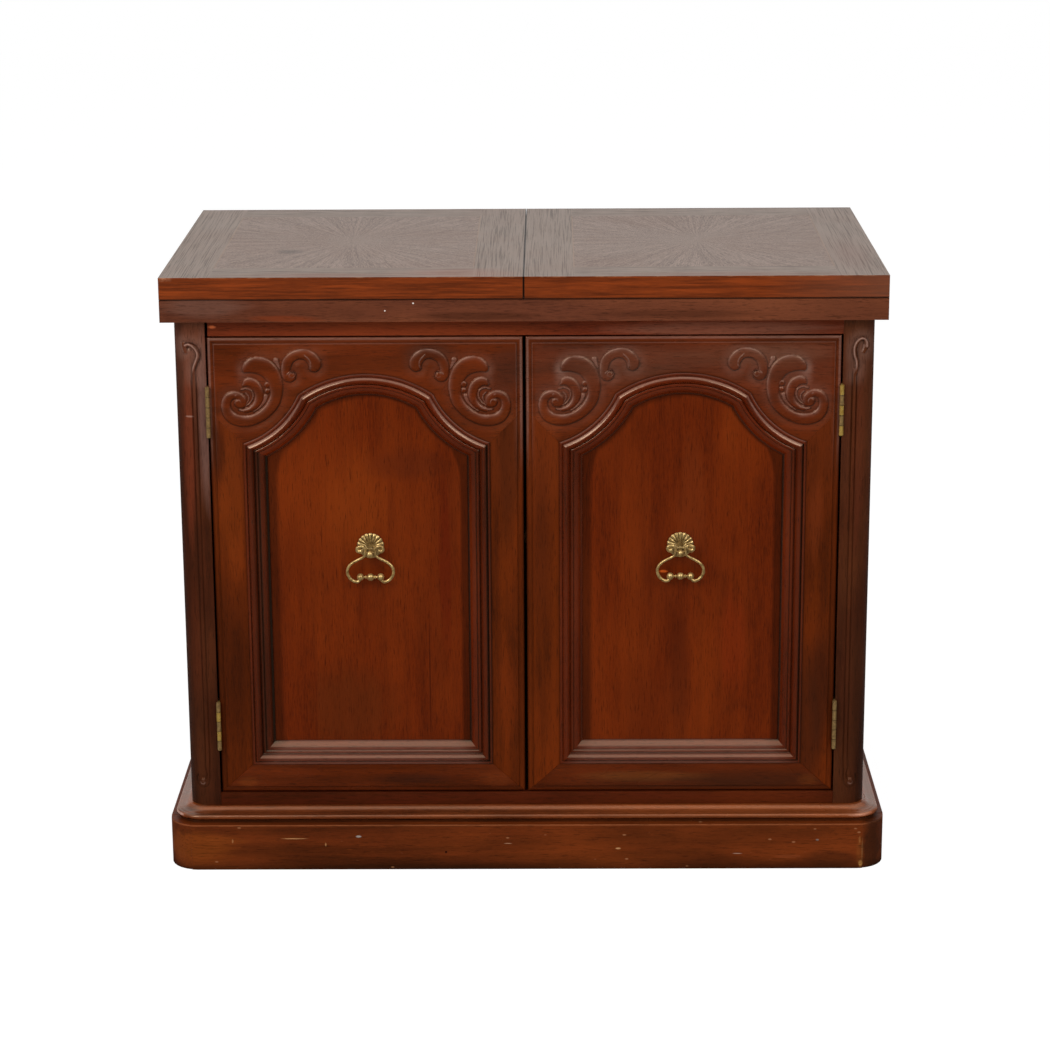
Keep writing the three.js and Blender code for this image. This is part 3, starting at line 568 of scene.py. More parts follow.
def post_relief(places, carving, lit):
    """How far places on a post stand out in millimetres, their painted shade, and painted highlights on the
    lit side over a lighter ground near the scroll.
    """
    x, z = places[:, 0], places[:, 1]
    reed_x = carving["reed"]
    bulb_x, bulb_z = carving["bulb"]
    fork = bulb_z + 30
    wall = REED_HALF + 0.9
    near_line = flow([
        (reed_x - wall, 670), (reed_x - wall, fork + 60), (reed_x - wall + 0.1, fork),
        (bulb_x - 9.2, bulb_z + 16), (bulb_x - 9.0, bulb_z + 2), (bulb_x - 6.0, bulb_z - 6),
        (bulb_x, bulb_z - 8.2), (bulb_x + 6.0, bulb_z - 5), (bulb_x + 8.2, bulb_z + 3),
        (bulb_x + 7.0, bulb_z + 9),
    ], 120)
    far_line = flow([
        (reed_x + wall, 670), (reed_x + wall, fork + 60), (reed_x + wall + 0.5, fork),
        (bulb_x - 3.6, bulb_z + 20), (bulb_x - 5.4, bulb_z + 10), (bulb_x - 4.4, bulb_z + 3),
    ], 90)
    ridge_line = flow(carving["ridge"], 60)
    tongue_line = flow(carving["tongue"], 24)
    to_grooves = np.minimum(gap_to(near_line, places), gap_to(far_line, places))
    to_ridge = gap_to(ridge_line, places)
    to_tongue = gap_to(tongue_line, places)
    bulb_gap = np.hypot(x - bulb_x, (z - bulb_z) / 1.2)
    below_scroll = eased((REED_TOP - z) / 12)
    swell = np.interp(z, [655, 668, 684, 697, 706], [1.2, 1.9, 2.8, 2.8, 2.3])
    wide = np.interp(z, [686, 692, 698, 706], [2.4, 3.2, 3.0, 1.6])
    near = np.minimum(to_ridge - swell, to_tongue - wide)

    reed = REED_RISE * rounded(np.abs(x - reed_x), REED_HALF) * below_scroll * eased((z - fork) / 20)
    ridge = 1.15 * swell * rounded(to_ridge, swell) * eased((z - 652) / 12)
    tongue = 0.8 * np.clip(1 - (to_tongue / wide) ** 2, 0, 1)
    bulb = BULB_RISE * rounded(bulb_gap, BULB_RADIUS)
    raised = np.maximum.reduce([reed, ridge, tongue, bulb])
    cut = np.interp(z, [140, 200, 460, 600], [1.3, 0.9, 0.9, 1.4])
    cut = cut * np.interp(z, [bulb_z - 4, bulb_z + 6], [0.35, 1.0])
    grooves = -cut * fall(to_grooves, 0.8) * below_scroll
    sunk = -1.8 * fall(np.clip(to_ridge - swell, 0, 99), 4.6) * eased((z - 650) / 20)
    basin = -0.9 * np.exp(-(np.hypot(x - bulb_x, z - bulb_z - 2) / 6.0) ** 4)
    relief = raised + np.where(raised > 0.01, 0, grooves + sunk + basin)

    in_scroll = eased((z - 662) / 10)
    ground = raised < 0.01
    # Painted shade in the grooves, round the scroll, and in a line beside the ridge on the side away from the
    # light.
    dark = np.interp(z, [440, 600], [0.38, 0.6]) * fall(to_grooves, 1.0) * below_scroll * ground
    dark += 0.5 * fall(np.clip(near, 0, 99), 1.0) * (z > 650) * ground
    dark += 0.5 * in_scroll * fall(gap_to(ridge_line - np.array([lit * 2.2, 0.8]), places), 1.0)
    # Painted highlights on the lit side of the ridge and the tongue and round the foot of the bulb, over a
    # lighter ground near the scroll.
    light_ridge = gap_to(ridge_line + np.array([lit * 1.0, 0.6]), places)
    light_tongue = gap_to(tongue_line + np.array([lit * 3.0, 0.4]), places)
    lit_and_worn = 0.2 * fall(np.clip(near - 1, 0, 99), 9.0) * eased((z - 630) / 30) * (raised < 0.4)
    lit_and_worn += in_scroll * (0.95 * fall(light_ridge, 0.9) + 0.4 * fall(light_tongue, 0.7) * (z > 688))
    lit_and_worn += 0.65 * fall(bulb_gap - 2.9, 0.8) * np.clip((bulb_z - z) / 3.0, 0, 1)
    lit_and_worn += 0.1 * fall(np.hypot(x - bulb_x + lit, z - bulb_z - 1.0), 1.2)
    return relief, dark, np.clip(lit_and_worn, 0, 1)


POST_TONES = ("50220f", "2c1107", "693518")
POST_MARKS = {
    "left": [(-408.0, 590.0, 8, 120, "70524a", 0.55), (-428.0, 560.0, 9, 110, "74301a", 0.5),
             (-426.0, 607.0, 6, 1.2, "a07868", 0.6), (-430.0, 300.0, 10, 90, "54220e", 0.5)],
    "right": [(408.0, 600.0, 8, 110, "3e241c", 0.2), (427.0, 560.0, 9, 120, "522012", 0.4),
              (430.0, 240.0, 14, 120, "42200f", 0.4)],
}
POST_LEVELS = {
    "left": [(480, 690, "7a4632", 0.5), (330, 90, "2c1208", 0.4)],
    "right": [(540, 710, "4c2c1e", 0.2), (330, 90, "2c1208", 0.4)],
}
for side, label, turned in ((-1, "left", LEFT_TURNED_SHADE), (1, "right", RIGHT_TURNED_SHADE)):
    finish = wood_finish("post_stain_" + label, *POST_TONES, roughness=0.24, shine=0.3, figure=0.9,
                         cloudy=0.75, levels=POST_LEVELS[label], marks=POST_MARKS[label])
    places = np.array([(x, z) for z in levels for x in outline[:, 0]])
    shape = (len(levels), len(outline))
    relief, dark, lit_and_worn = (part.reshape(shape) for part in post_relief(places, POST_CARVING[label], -side))
    across, deep = outline.T
    fade = eased((across - post_inner) / 6)
    fade[deep > POST_ROUND] = 0
    # Painted shade on the rounding where it turns away from the lamps.
    turn_shade = turned * np.clip((deep - 1.5) / 4.0, 0, 1) * np.clip((19.0 - deep) / 5.0, 0, 1)
    rows = []
    darks = []
    highlights = []
    for r, z in enumerate(levels):
        shifted = outline - inward * np.minimum(relief[r] * fade, 0.9 + 2.1 * (deep < 14))[:, None]
        shifted[:, 0] = np.clip(shifted[:, 0], post_inner, half_case)
        rows += [(side * x, case_front + y, z) for x, y in shifted]
        rows += [(side * post_inner, case_front + POST_DEPTH, z)]
        darks += list(np.clip(dark[r] * fade + turn_shade, 0, 1)) + [0.0]
        highlights += list(lit_and_worn[r] * fade) + [0.0]
    put_mesh("carved_post_" + label, rows, loft_faces(len(levels), len(outline) + 1), finish,
             "case", ["post_" + label], {"painted_shade_and_patina": darks, "highlight_and_wear": highlights}, 40)


# Case boards
# Veneered side boards, the apron under the top and the rail under the doors, all stained like the posts;
# inside them a plain sealed floor, shelf on two cleats, back rail and thin back.
APRON_MARKS = [(-394.0, 723.0, 6, 2.4, "d06a3c", 0.8), (260, 718, 160, 9, "7a5646", 0.4)]
side_finish = wood_finish("side_stain", "5a210c", "331206", "723114", figure=0.6)
rail_finish = wood_finish("rail_stain", "541e0c", "2e1205", "6c2b0c", "X", figure=0.6)
apron_finish = wood_finish("apron_stain", "783019", "471c10", "8e3d19", "X", figure=0.6, marks=APRON_MARKS)
inside_along = wood_finish("inside_sealed", "8a6544", "6e4e32", "9a7450", "X", 0.6)
back_finish = wood_finish("back_board", "7c5a3e", "62442c", "8a6648", roughness=0.7)
cleat_finish = wood_finish("cleat_wood", "8f6b4a", "745438", "a07c58", "Y", 0.65, figure=0.4)
for name in ("side_left", "side_right"):
    soften(name, 0.6, side_finish)
soften("bottom_rail", 0.7, rail_finish)
soften("apron_front", 0.7, apron_finish)
for name in ("bottom_panel", "shelf", "back_rail"):
    soften(name, 0.6, inside_along)
soften("back_panel", 0.4, back_finish)
for name in ("shelf_cleat_left", "shelf_cleat_right"):
    soften(name, 0.8, cleat_finish)


# Catches
# Magnetic catches screwed behind the apron, with thin plated strikes on the backs of the doors.
# They hide behind the closed doors and are plain zinc-plated steel.
METAL_HOLLOW = "1d140a"
JOINT_HALF = 0.00045


def metal_finish(name, bright, dull, roughness, spots, joints=(), coat=0.0):
    """Clouded metal that is darker in its hollows and in the thin joints at the heights named."""
    material, tree, shader = blank_finish(name)
    place = step(tree, "TexCoord").outputs["Object"]
    cloud_inputs = {"Vector": place, "Scale": spots, "Detail": 5.0, "Roughness": 0.65}
    cloud = step(tree, "TexNoise", cloud_inputs).outputs[0]
    colour = blend(ramp(cloud, 0.35, 0.65), tint(bright), tint(dull))
    colour = blend(painted(tree, "painted_shade_and_patina"), colour, tint(METAL_HOLLOW))
    height = axes_of(place)[2]
    for joint in joints:
        in_joint = maths("COMPARE", height, joint * MM, JOINT_HALF)
        colour = blend(maths("MULTIPLY", in_joint, 0.75), colour, tint(METAL_HOLLOW))
    plug(shader, {
        "Base Color": colour, "Roughness": ramp(cloud, 0.3, 0.7, roughness - 0.06, roughness + 0.1),
        "Metallic": 0.7, "Coat Weight": coat,
    })
    return material


catch_finish = metal_finish("catch_plate", "a9a8a2", "86857e", 0.42, 220)
for name in ("catch_left", "catch_right", "left_door_strike", "right_door_strike"):
    soften(name, 0.3, catch_finish)


# Door frames
# Each door is four boards mitred together, with a small thumbnail lip run round the outer edge. The top
# board is cut to the arched head, and a pair of scrolls is carved out of each of its corners. Painted shade
# lies along the lip and round the carving, and painted highlights on the lip's crest and the carving's rims.
DOOR_LIP = [
    (0.0, 3.8), (0.4, 3.1), (1.2, 2.6), (2.6, 2.2), (4.4, 1.9), (6.2, 1.7), (7.1, 1.6), (7.5, 1.5),
    (7.8, 0.7), (8.2, 0.2), (8.9, 0.0),
]
HEAD_MARGIN = 47.05
HEAD_RISE = 26.9
FLANK_RISE = 63.6
CUSP_HALF_WIDTH = 86.0
FLANK_TURN = math.radians(24)
LIP_CREST = 2.0
LIP_QUIRK = 7.0
LIP_FOOT = 8.2
# Height from which the painted highlights on the lips fade in, and over how far.
HIGHLIGHT_FROM = 520
HIGHLIGHT_RUN = 120
BOARD_SHARES = [0.3, 0.42, 0.56, 0.7, 0.82, 0.9, 0.96, 1.0]
MITRE_SHARE = 0.0012
MITRE_GROOVE = 0.35
MITRE_GAP = 0.07
FINE_COLUMNS_FROM = 56
CARVED_FROM = (45, 478)
LEFT_RIGHT = np.array([-1, 1])

rail_low, rail_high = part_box("right_door_rail_top")
door_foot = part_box("right_door_rail_bottom")[0][2] / MM
door_height = rail_high[2] / MM - door_foot
half_door = (rail_high[0] - rail_low[0]) / 2 / MM
door_middle = (rail_high[0] + rail_low[0]) / 2 / MM
door_thick = (rail_high[1] - rail_low[1]) / MM
rail_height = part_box("right_door_rail_bottom")[1][2] / MM - door_foot
stile_low, stile_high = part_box("right_door_stile_hinge")
stile_width = (stile_high[0] - stile_low[0]) / MM
half_arch = half_door - stile_width
peak_height = door_height - HEAD_MARGIN
cusp_height = peak_height - HEAD_RISE
spring_height = cusp_height - FLANK_RISE

flank_chord = np.array([CUSP_HALF_WIDTH - half_arch, FLANK_RISE])
flank_radius = np.hypot(*flank_chord) / (2 * math.sin(FLANK_TURN))
flank_out = np.array([flank_chord[1], -flank_chord[0]]) / np.hypot(*flank_chord)
flank_middle = np.array([half_arch, spring_height]) + flank_chord / 2
flank_centre = flank_middle + flank_out * flank_radius * math.cos(FLANK_TURN)
head_radius = (CUSP_HALF_WIDTH ** 2 + HEAD_RISE ** 2) / (2 * HEAD_RISE)
head_centre = np.array([0.0, peak_height - head_radius])


def arc(centre, radius, start, end, count):
    """Points of a circle from the way to one point round to the way to another."""
    first = math.atan2(start[1] - centre[1], start[0] - centre[0])
    last = math.atan2(end[1] - centre[1], end[0] - centre[0])
    turn = math.atan2(math.sin(last - first), math.cos(last - first))
    angles = [first + turn * k / count for k in range(count + 1)]
    return [centre + radius * np.array([math.cos(angle), math.sin(angle)]) for angle in angles]


def arch_line(inset, flank_count=26, head_count=44):
    """The arched head drawn in by an inset, from the right spring over the top to the left spring."""
    flank = flank_radius + inset
    head = head_radius - inset
    side_x = half_arch - inset
    spring = np.array([side_x, flank_centre[1] - math.sqrt(flank ** 2 - (flank_centre[0] - side_x) ** 2)])
    between = flank_centre - head_centre
    distance = np.hypot(*between)
    along = (head ** 2 - flank ** 2 + distance ** 2) / (2 * distance)
    off = math.sqrt(head ** 2 - along ** 2)
    toward = between / distance
    cusp = head_centre + toward * along + np.array([-toward[1], toward[0]]) * off
    right = arc(flank_centre, flank, spring, cusp, flank_count)
    middle = arc(head_centre, head, cusp, cusp * LEFT_RIGHT, head_count)
    left = [p * LEFT_RIGHT for p in reversed(right)]
    return np.array(right + middle[1:-1] + left)


MAIN_SCROLL = (
    [(155.8, 567.2), (156.0, 572.0), (153.4, 577.8), (146.5, 584.0), (135.5, 586.2), (124.0, 583.2),
     (113.6, 574.2), (108.3, 563.5), (105.6, 551.2), (106.2, 538.5), (110.5, 524.0), (120.3, 511.6),
     (133.5, 502.0), (148.0, 496.6), (162.0, 496.4), (174.2, 501.2), (181.6, 510.8), (184.0, 523.0),
     (181.0, 533.8), (174.2, 539.8), (165.6, 541.4), (157.4, 538.4), (152.0, 531.3), (152.9, 523.0),
     (158.8, 519.8), (164.6, 521.4), (167.2, 526.0)],
    [(153.5, 565.8), (143.1, 566.0), (131.8, 562.4), (125.2, 555.0), (121.8, 546.0), (121.0, 537.5),
     (124.4, 528.6), (130.0, 521.0), (137.6, 514.6), (146.4, 510.6), (156.4, 509.6), (164.6, 511.4),
     (170.2, 516.4), (172.6, 523.0), (171.4, 529.0), (167.4, 532.0), (163.0, 531.0)],
)
SECOND_SCROLL = (
    [(156.6, 550.3), (153.8, 556.9), (145.8, 559.0), (136.8, 554.2), (131.2, 545.0), (130.3, 534.0),
     (134.2, 524.5), (142.4, 517.4), (153.0, 513.9)],
    [(155.6, 547.9), (149.0, 548.3), (143.4, 543.4), (140.8, 536.2), (142.4, 527.9), (148.0, 521.4),
     (154.6, 518.6), (162.0, 517.0)],
)
ARCH_SCROLL = (
    [(69.6, 568.0), (63.0, 566.8), (57.2, 571.8), (56.6, 580.6), (63.0, 590.0), (73.4, 595.6),
     (85.7, 595.4), (96.2, 590.8), (103.4, 583.1), (106.3, 571.6), (105.6, 561.6), (101.2, 555.0),
     (94.2, 553.8), (88.4, 557.8)],
    [(70.4, 570.0), (72.0, 577.1), (77.0, 582.6), (84.3, 583.2), (91.0, 579.5), (94.4, 573.0),
     (95.0, 567.0), (93.6, 565.0)],
)
CARVED_DOTS = [
    ((124.9, 549.7), 3.5, 1.7), ((124.7, 541.6), 3.2, 1.6), ((127.0, 534.4), 2.8, 1.5),
    ((92.8, 561.4), 4.6, 2.2), ((162.4, 526.4), 4.6, 2.0), ((113.0, 581.0), 3.6, 1.6),
    ((164.4, 536.0), 2.0, 0.6),
]
CARVED_STEMS = [
    ([(127.0, 534.4), (129.6, 527.4), (135.0, 520.6), (143.0, 514.8)], 2.2, 0.5, 1.2),
    ([(113.0, 581.0), (110.6, 575.5), (108.4, 570.5)], 2.6, 0.7, 1.2),
    ([(158.1, 543.6), (151.2, 545.1), (144.6, 541.6), (143.4, 534.0), (147.0, 526.5), (153.4, 521.6)], 0.8,
     0.5, 0.8),
    ([(153.0, 539.4), (149.6, 536.0), (148.8, 530.6), (151.4, 525.6)], 0.7, 0.5, 0.6),
    ([(76.4, 588.4), (70.7, 582.7), (68.6, 576.0), (70.4, 570.6)], 0.9, 0.6, 3.3),
    ([(99.4, 563.4), (92.9, 567.6), (88.6, 563.4), (91.6, 559.0), (95.4, 560.4)], 0.8, 0.5, 3.0),
]


def inside_of(loop, places):
    """Which places lie inside a closed outline."""
    result = np.zeros(len(places), dtype=bool)
    x, y = places[:, 0], places[:, 1]
    for (ax, ay), (bx, by) in zip(loop, np.roll(loop, -1, axis=0)):
        crosses = (ay > y) != (by > y)
        if ay != by:
            result ^= crosses & (x < (bx - ax) * (y - ay) / (by - ay) + ax)
    return result


def carve_relief(places):
    """Relief of one corner's scrolls, the painted shade at their feet, a lighter ground round them, and which
    way their rims and flanks face.
    """
    raised = np.zeros(len(places))
    reach = np.full(len(places), 1e9)
    rims = np.zeros((len(places), 2))
    flanks = np.zeros((len(places), 2))

    def spread(gap, outward):
        nonlocal reach
        closer = gap < reach
        flanks[closer] = outward[closer]
        reach = np.minimum(reach, gap)

    for (outer, inner), rise in ((MAIN_SCROLL, 2.5), (SECOND_SCROLL, 2.3), (ARCH_SCROLL, 2.5)):
        outer_line = flow(outer, 130)
        inner_line = flow(inner, 100)
        to_outer, outer_way = way_to(outer_line, places)
        to_inner, inner_way = way_to(inner_line, places)
        to_start, start_way = way_to(np.array([outer_line[0], inner_line[0]]), places)
        within = inside_of(np.vstack([outer_line, inner_line[::-1]]), places)
        share = to_outer / np.maximum(to_outer + to_inner, 1e-6)
        dome = np.clip(4 * share * (1 - share), 0, 1) ** 0.36 * np.sqrt(np.clip(to_start / 3.0, 0, 1))
        raised = np.maximum(raised, np.where(within, rise * dome, 0))
        for gap, way in ((to_outer, outer_way), (to_inner, inner_way), (to_start, start_way)):
            spread(np.where(within, 0, gap), -way)
            # Rims give where the painted highlights lie on the carving and which way they face.
            rim = np.maximum(0.85 * fall(gap - 1.0, 0.75), 0.42 * fall(gap, 3.4)) * within
            stronger = rim > np.hypot(*rims.T)
            rims[stronger] = way[stronger] * rim[stronger, None]
    for centre, radius, rise in CARVED_DOTS:
        apart = places - np.array(centre)
        gap = np.hypot(*apart.T)
        raised = np.maximum(raised, rise * rounded(gap, radius))
        outward = apart / np.maximum(gap, 1e-9)[:, None]
        spread(np.clip(gap - radius, 0, 99), outward)
        rim = 0.8 * fall(gap - radius + 0.8, 0.5)
        rims[gap < radius] = outward[gap < radius] * rim[gap < radius, None]
    for points, wide, narrow, rise in CARVED_STEMS:
        line = flow(points, 24)
        gap, way = way_to(line, places)
        whole = line[-1] - line[0]
        along = np.clip(((places - line[0]) @ whole) / float(whole @ whole), 0, 1)
        width = wide + (narrow - wide) * along
        raised = np.maximum(raised, rise * rounded(gap, width))
        spread(np.clip(gap - width, 0, 99), -way)
        rims[gap < width] = (0, 0.4)
    outside = reach > 0
    ground = -2.1 * fall(reach, 8.0)
    # Painted shade in the ground at the foot of the carving.
    painted_shade_and_patina = fall(reach - 0.6, 0.9) * outside
    in_hook = fall(np.hypot(places[:, 0] - 157, (places[:, 1] - 566) / 1.6), 8.0)
    highlight_and_wear = (0.08 + 0.26 * in_hook) * fall(reach - 2.5, 6.0) * outside
    return ground + raised, painted_shade_and_patina, highlight_and_wear, np.hstack([rims, flanks])


def lip_depth(inset):
    edges, depths = zip(*DOOR_LIP)
    return np.interp(inset, edges, depths)


def frame_board(name, node, side, outer, inner, material, body):
    """One mitred board between its outer and inner edge, moulded along the outer one."""
    outer = np.array(outer)
    inner = np.array(inner)
    shares = [inset / stile_width for inset, _ in DOOR_LIP] + BOARD_SHARES
    depths = [depth for _, depth in DOOR_LIP] + [0.0] * len(BOARD_SHARES)
    lengths = [0.0, MITRE_SHARE] + list(np.linspace(0.03, 0.97, 24)) + [1 - MITRE_SHARE, 1.0]
    insets = np.array(shares) * stile_width
    # Painted shade at the outer edge, in the lip's quirk, over the lip and along the inner edge; painted
    # highlights on the lip's crest and foot.
    board_shade = 0.5 * fall(insets, 1.6) + 0.3 * fall(insets - LIP_QUIRK, 0.9) + 0.12 * (insets < LIP_QUIRK)
    board_shade += 0.4 * fall(stile_width - insets, 1.3)
    board_highlight = 0.2 * fall(insets - LIP_FOOT, 0.6) + 0.55 * fall(insets - LIP_CREST, 1.2)
    points = []
    painted_shade_and_patina = []
    highlight_and_wear = []
    for k, along in enumerate(lengths):
        a = outer[0] + (outer[1] - outer[0]) * along
        b = inner[0] + (inner[1] - inner[0]) * along
        groove = MITRE_GROOVE if k in (0, len(lengths) - 1) else 0.0
        ring = [(a, door_thick)]
        ring += [(a + (b - a) * share, depth + groove) for share, depth in zip(shares, depths)]
        ring += [(b, door_thick)]
        for place, depth in ring:
            points.append((side * (door_middle + place[0]), case_front + depth, door_foot + place[1]))
        height = door_foot + a[1]
        # The painted highlights show only on the upper part of the door.
        lit_and_worn = float(eased((height - HIGHLIGHT_FROM) / HIGHLIGHT_RUN))
        painted_shade_and_patina += [0.0, *board_shade, 0.0]
        highlight_and_wear += [0.0, *(board_highlight * lit_and_worn), 0.0]
    put_mesh(name, points, loft_faces(len(lengths), len(shares) + 2), material, body, [node],
             {"painted_shade_and_patina": np.clip(painted_shade_and_patina, 0, 1), "highlight_and_wear": highlight_and_wear})


STILE_MARKS = [
    (-376.0, 490.0, 20, 90, "8c3c0e", 0.2), (-372.5, 418.0, 9, 38, "84360c", 0.2),
    (-381.0, 280.0, 30, 110, "2c1006", 0.3), (-392.0, 560.0, 10, 40, "2c1006", 0.5),
    (-22.0, 560.0, 16, 110, "341608", 0.5), (-20.0, 230.0, 20, 70, "80300a", 0.25),
    (22.0, 450.0, 14, 120, "4c1c08", 0.4), (372.0, 470.0, 12, 60, "6c2c10", 0.4),
    (384.0, 240.0, 14, 90, "30140a", 0.5), (366.0, 190.0, 22, 100, "34170b", 0.5),
]
stile_finish = wood_finish("stile_stain", "632505", "381405", "833206", figure=0.7, marks=STILE_MARKS,
                           levels=[(470, 565, "5f260c", 0.55)])
RAIL_MARKS = [
    (130.0, 672.0, 100, 26, "563222", 0.35), (290.0, 684.0, 90, 18, "5a3624", 0.3),
    (-388.0, 586.0, 24, 34, "702c08", 0.45), (-20.0, 590.0, 24, 30, "642808", 0.4),
    (22.0, 588.0, 26, 34, "76300c", 0.5), (388.0, 590.0, 22, 30, "602608", 0.4),
    (-20.0, 668.0, 30, 30, "3a2018", 0.5), (-120.0, 690.0, 40, 14, "3c190b", 0.5),
    (-300.0, 690.0, 60, 12, "7a3414", 0.4), (340.0, 690.0, 60, 14, "6a4230", 0.25),
    (-150.0, 115.0, 60, 9, "30140a", 0.5), (-40.0, 116.0, 24, 12, "863a10", 0.2),
    (160.0, 118.0, 90, 8, "70401a", 0.4), (210.0, 108.0, 160, 10, "34180a", 0.4),
    (300.0, 112.0, 110, 16, "2e1408", 0.55), (-366.0, 112.0, 14, 8, "8a4414", 0.2),
    (370.0, 112.0, 16, 9, "84400f", 0.2),
]
door_rail_finish = wood_finish("door_rail_stain", "622103", "391302", "7e2e04", "X", 0.26, shine=0.38,
                               figure=0.8, marks=RAIL_MARKS)

HEAD_HAZE = {"left": (0.0, 0.45), "right": (0.045, 1.0)}
columns = [half_door - inset for inset, _ in DOOR_LIP]
columns += list(np.linspace(half_door - DOOR_LIP[-1][0], FINE_COLUMNS_FROM, 172)[1:])
columns += list(np.linspace(FINE_COLUMNS_FROM, 0, 15)[1:])
columns = np.array(columns + [-u for u in reversed(columns[:-1])])
head_line = arch_line(0)
head_order = np.argsort(head_line[:, 0])
low_edge = np.where(
    np.abs(columns) >= half_arch,
    spring_height + np.abs(columns) - half_arch,
    np.interp(columns, head_line[head_order, 0], head_line[head_order, 1]),
)
face_top = door_height - DOOR_LIP[-1][0]
row_shares = np.linspace(0, 1, 128)
heights = []
for low in low_edge:
    rising = low + (face_top - low) * row_shares if low < face_top else np.full(len(row_shares), low)
    rim = [max(door_height - inset, low) for inset, _ in reversed(DOOR_LIP[:-1])]
    heights.append(np.concatenate([rising, rim]))
rows_each = len(heights[0])
head_v = np.concatenate(heights)
head_u = np.repeat(columns, rows_each)
flat_places = np.column_stack([np.abs(head_u), head_v])
busy = (flat_places[:, 0] > CARVED_FROM[0]) & (flat_places[:, 1] > CARVED_FROM[1])
relief, head_shade, head_rub = np.zeros((3, len(flat_places)))
head_ways = np.zeros((len(flat_places), 4))
relief[busy], head_shade[busy], head_rub[busy], head_ways[busy] = carve_relief(flat_places[busy])
insets = np.minimum(half_door - np.abs(head_u), door_height - head_v)
arch_room = gap_to(head_line, np.column_stack([head_u, head_v]))
room = eased((insets - 8.5) / 5) * eased(arch_room / 4)
head_depth = lip_depth(np.maximum(insets, 0)) - relief * room
# Painted shade at the outer edge, in the lip's quirk and along the arch; painted highlights on the lip's
# crest and foot.
lip_shade = 0.35 * fall(insets, 0.7) + 0.25 * fall(insets - LIP_QUIRK, 0.7) + 0.4 * fall(arch_room, 1.4)
lip_highlight = 0.2 * fall(insets - LIP_FOOT, 0.6) + 0.5 * fall(insets - LIP_CREST, 1.1)
higher = eased((head_v - 490) / 80)
broken = 0.75 + 0.25 * np.sin(0.31 * np.abs(head_u) + 1.3 * np.sin(0.17 * head_v))
rim_x, rim_z, flank_x, flank_z = head_ways.T

face_count = len(head_u)
last = len(columns) - 1
head_faces = []
for c in range(last):
    a, b = c * rows_each, (c + 1) * rows_each
    for r in range(rows_each - 1):
        head_faces.append((a + r, b + r, b + r + 1, a + r + 1))
    back_a, back_b = face_count + 2 * c, face_count + 2 * (c + 1)
    head_faces.append((back_a, back_a + 1, back_b + 1, back_b))
    head_faces.append((a, back_a, back_b, b))
    head_faces.append((a + rows_each - 1, b + rows_each - 1, back_b + 1, back_a + 1))
head_faces.append(tuple(range(rows_each)) + (face_count + 1, face_count))
end_column = [last * rows_each + r for r in reversed(range(rows_each))]
head_faces.append(tuple(end_column) + (face_count + 2 * last, face_count + 2 * last + 1))

for side, label in ((-1, "left"), (1, "right")):
    body = label + "_door"
    for end, where in ((1, "hinge"), (-1, "meeting")):
        outer = [(end * half_door, 0.0), (end * half_door, spring_height + stile_width)]
        inner = [(end * half_arch, rail_height), (end * half_arch, spring_height)]
        frame_board(f"{body}_{where}_stile", f"{body}_stile_{where}", side, outer, inner, stile_finish, body)
    outer = [(-half_door + MITRE_GAP, 0.0), (half_door - MITRE_GAP, 0.0)]
    inner = [(-half_arch + MITRE_GAP, rail_height), (half_arch - MITRE_GAP, rail_height)]
    frame_board(f"{body}_foot_rail", f"{body}_rail_bottom", side, outer, inner, door_rail_finish, body)

    haze, halo = HEAD_HAZE[label]
    mirrored = side * np.sign(head_u)
    # Painted highlights on the carving's rims facing up and to the left, and painted shade on flanks facing
    # down and to the right.
    rim_light = np.clip(0.25 * np.hypot(rim_x, rim_z) + 0.6 * rim_z - 0.25 * mirrored * rim_x, 0, 1) * broken
    flank_shade = head_shade * np.clip(0.5 - 0.4 * flank_z + 0.2 * mirrored * flank_x, 0, 1)
    face_shade = np.clip(flank_shade * room + lip_shade, 0, 1)
    face_haze_and_highlight = halo * head_rub * (0.4 + 0.6 * higher) + rim_light + haze * higher
    face_highlight_and_wear = np.clip(face_haze_and_highlight * room + lip_highlight, 0, 1)
    face_z = np.minimum(door_foot + head_v + MITRE_GAP, door_foot + door_height)
    points = np.column_stack([side * (door_middle + head_u), case_front + head_depth, face_z]).tolist()
    for u, low in zip(columns, low_edge):
        for height in (low + MITRE_GAP, door_height):
            points.append((side * (door_middle + u), case_front + door_thick, door_foot + height))
    pad = np.zeros(len(points) - face_count)
    put_mesh(
        f"{body}_carved_head", points, head_faces, door_rail_finish, body, [f"{body}_rail_top"],
        {"painted_shade_and_patina": np.concatenate([face_shade, pad]), "highlight_and_wear": np.concatenate([face_highlight_and_wear, pad])}, 50,
    )


# Door mouldings
# A run of hardwood moulding is mitred round each panel and glued into the frame: a raised bead next to the
# frame, a fillet between two quirks, and a cove that falls to the panel. Painted shade fills the quirks and
# the cove's foot, each run's amount set by how it faces the lamps; painted highlights run along the bead of
# the head and a painted sheen over the foot run.
MOULD_PROFILE = [
    (0.1, 10.9), (0.1, -0.8), (0.5, -1.3), (2.2, -1.7), (3.2, -1.5), (3.8, -0.5), (4.2, -0.6),
    (4.7, -1.6), (5.7, -2.5), (6.7, -3.3), (7.7, -3.9), (8.7, -4.2), (9.6, -4.1), (10.6, -3.4),
    (11.4, -2.6), (12.4, -1.4), (13.2, -0.1), (13.8, 1.3), (14.3, 1.6), (14.8, 1.0), (15.4, 0.7),
    (16.6, 0.7), (17.6, 0.9), (18.2, 1.5), (18.6, 2.2), (19.2, 2.4), (20.2, 2.3), (21.6, 2.6),
    (23.0, 3.3), (24.4, 4.4), (25.8, 5.9), (26.8, 7.2), (27.8, 8.2), (28.8, 8.8), (29.6, 9.2),
    (30.0, 10.9),
]
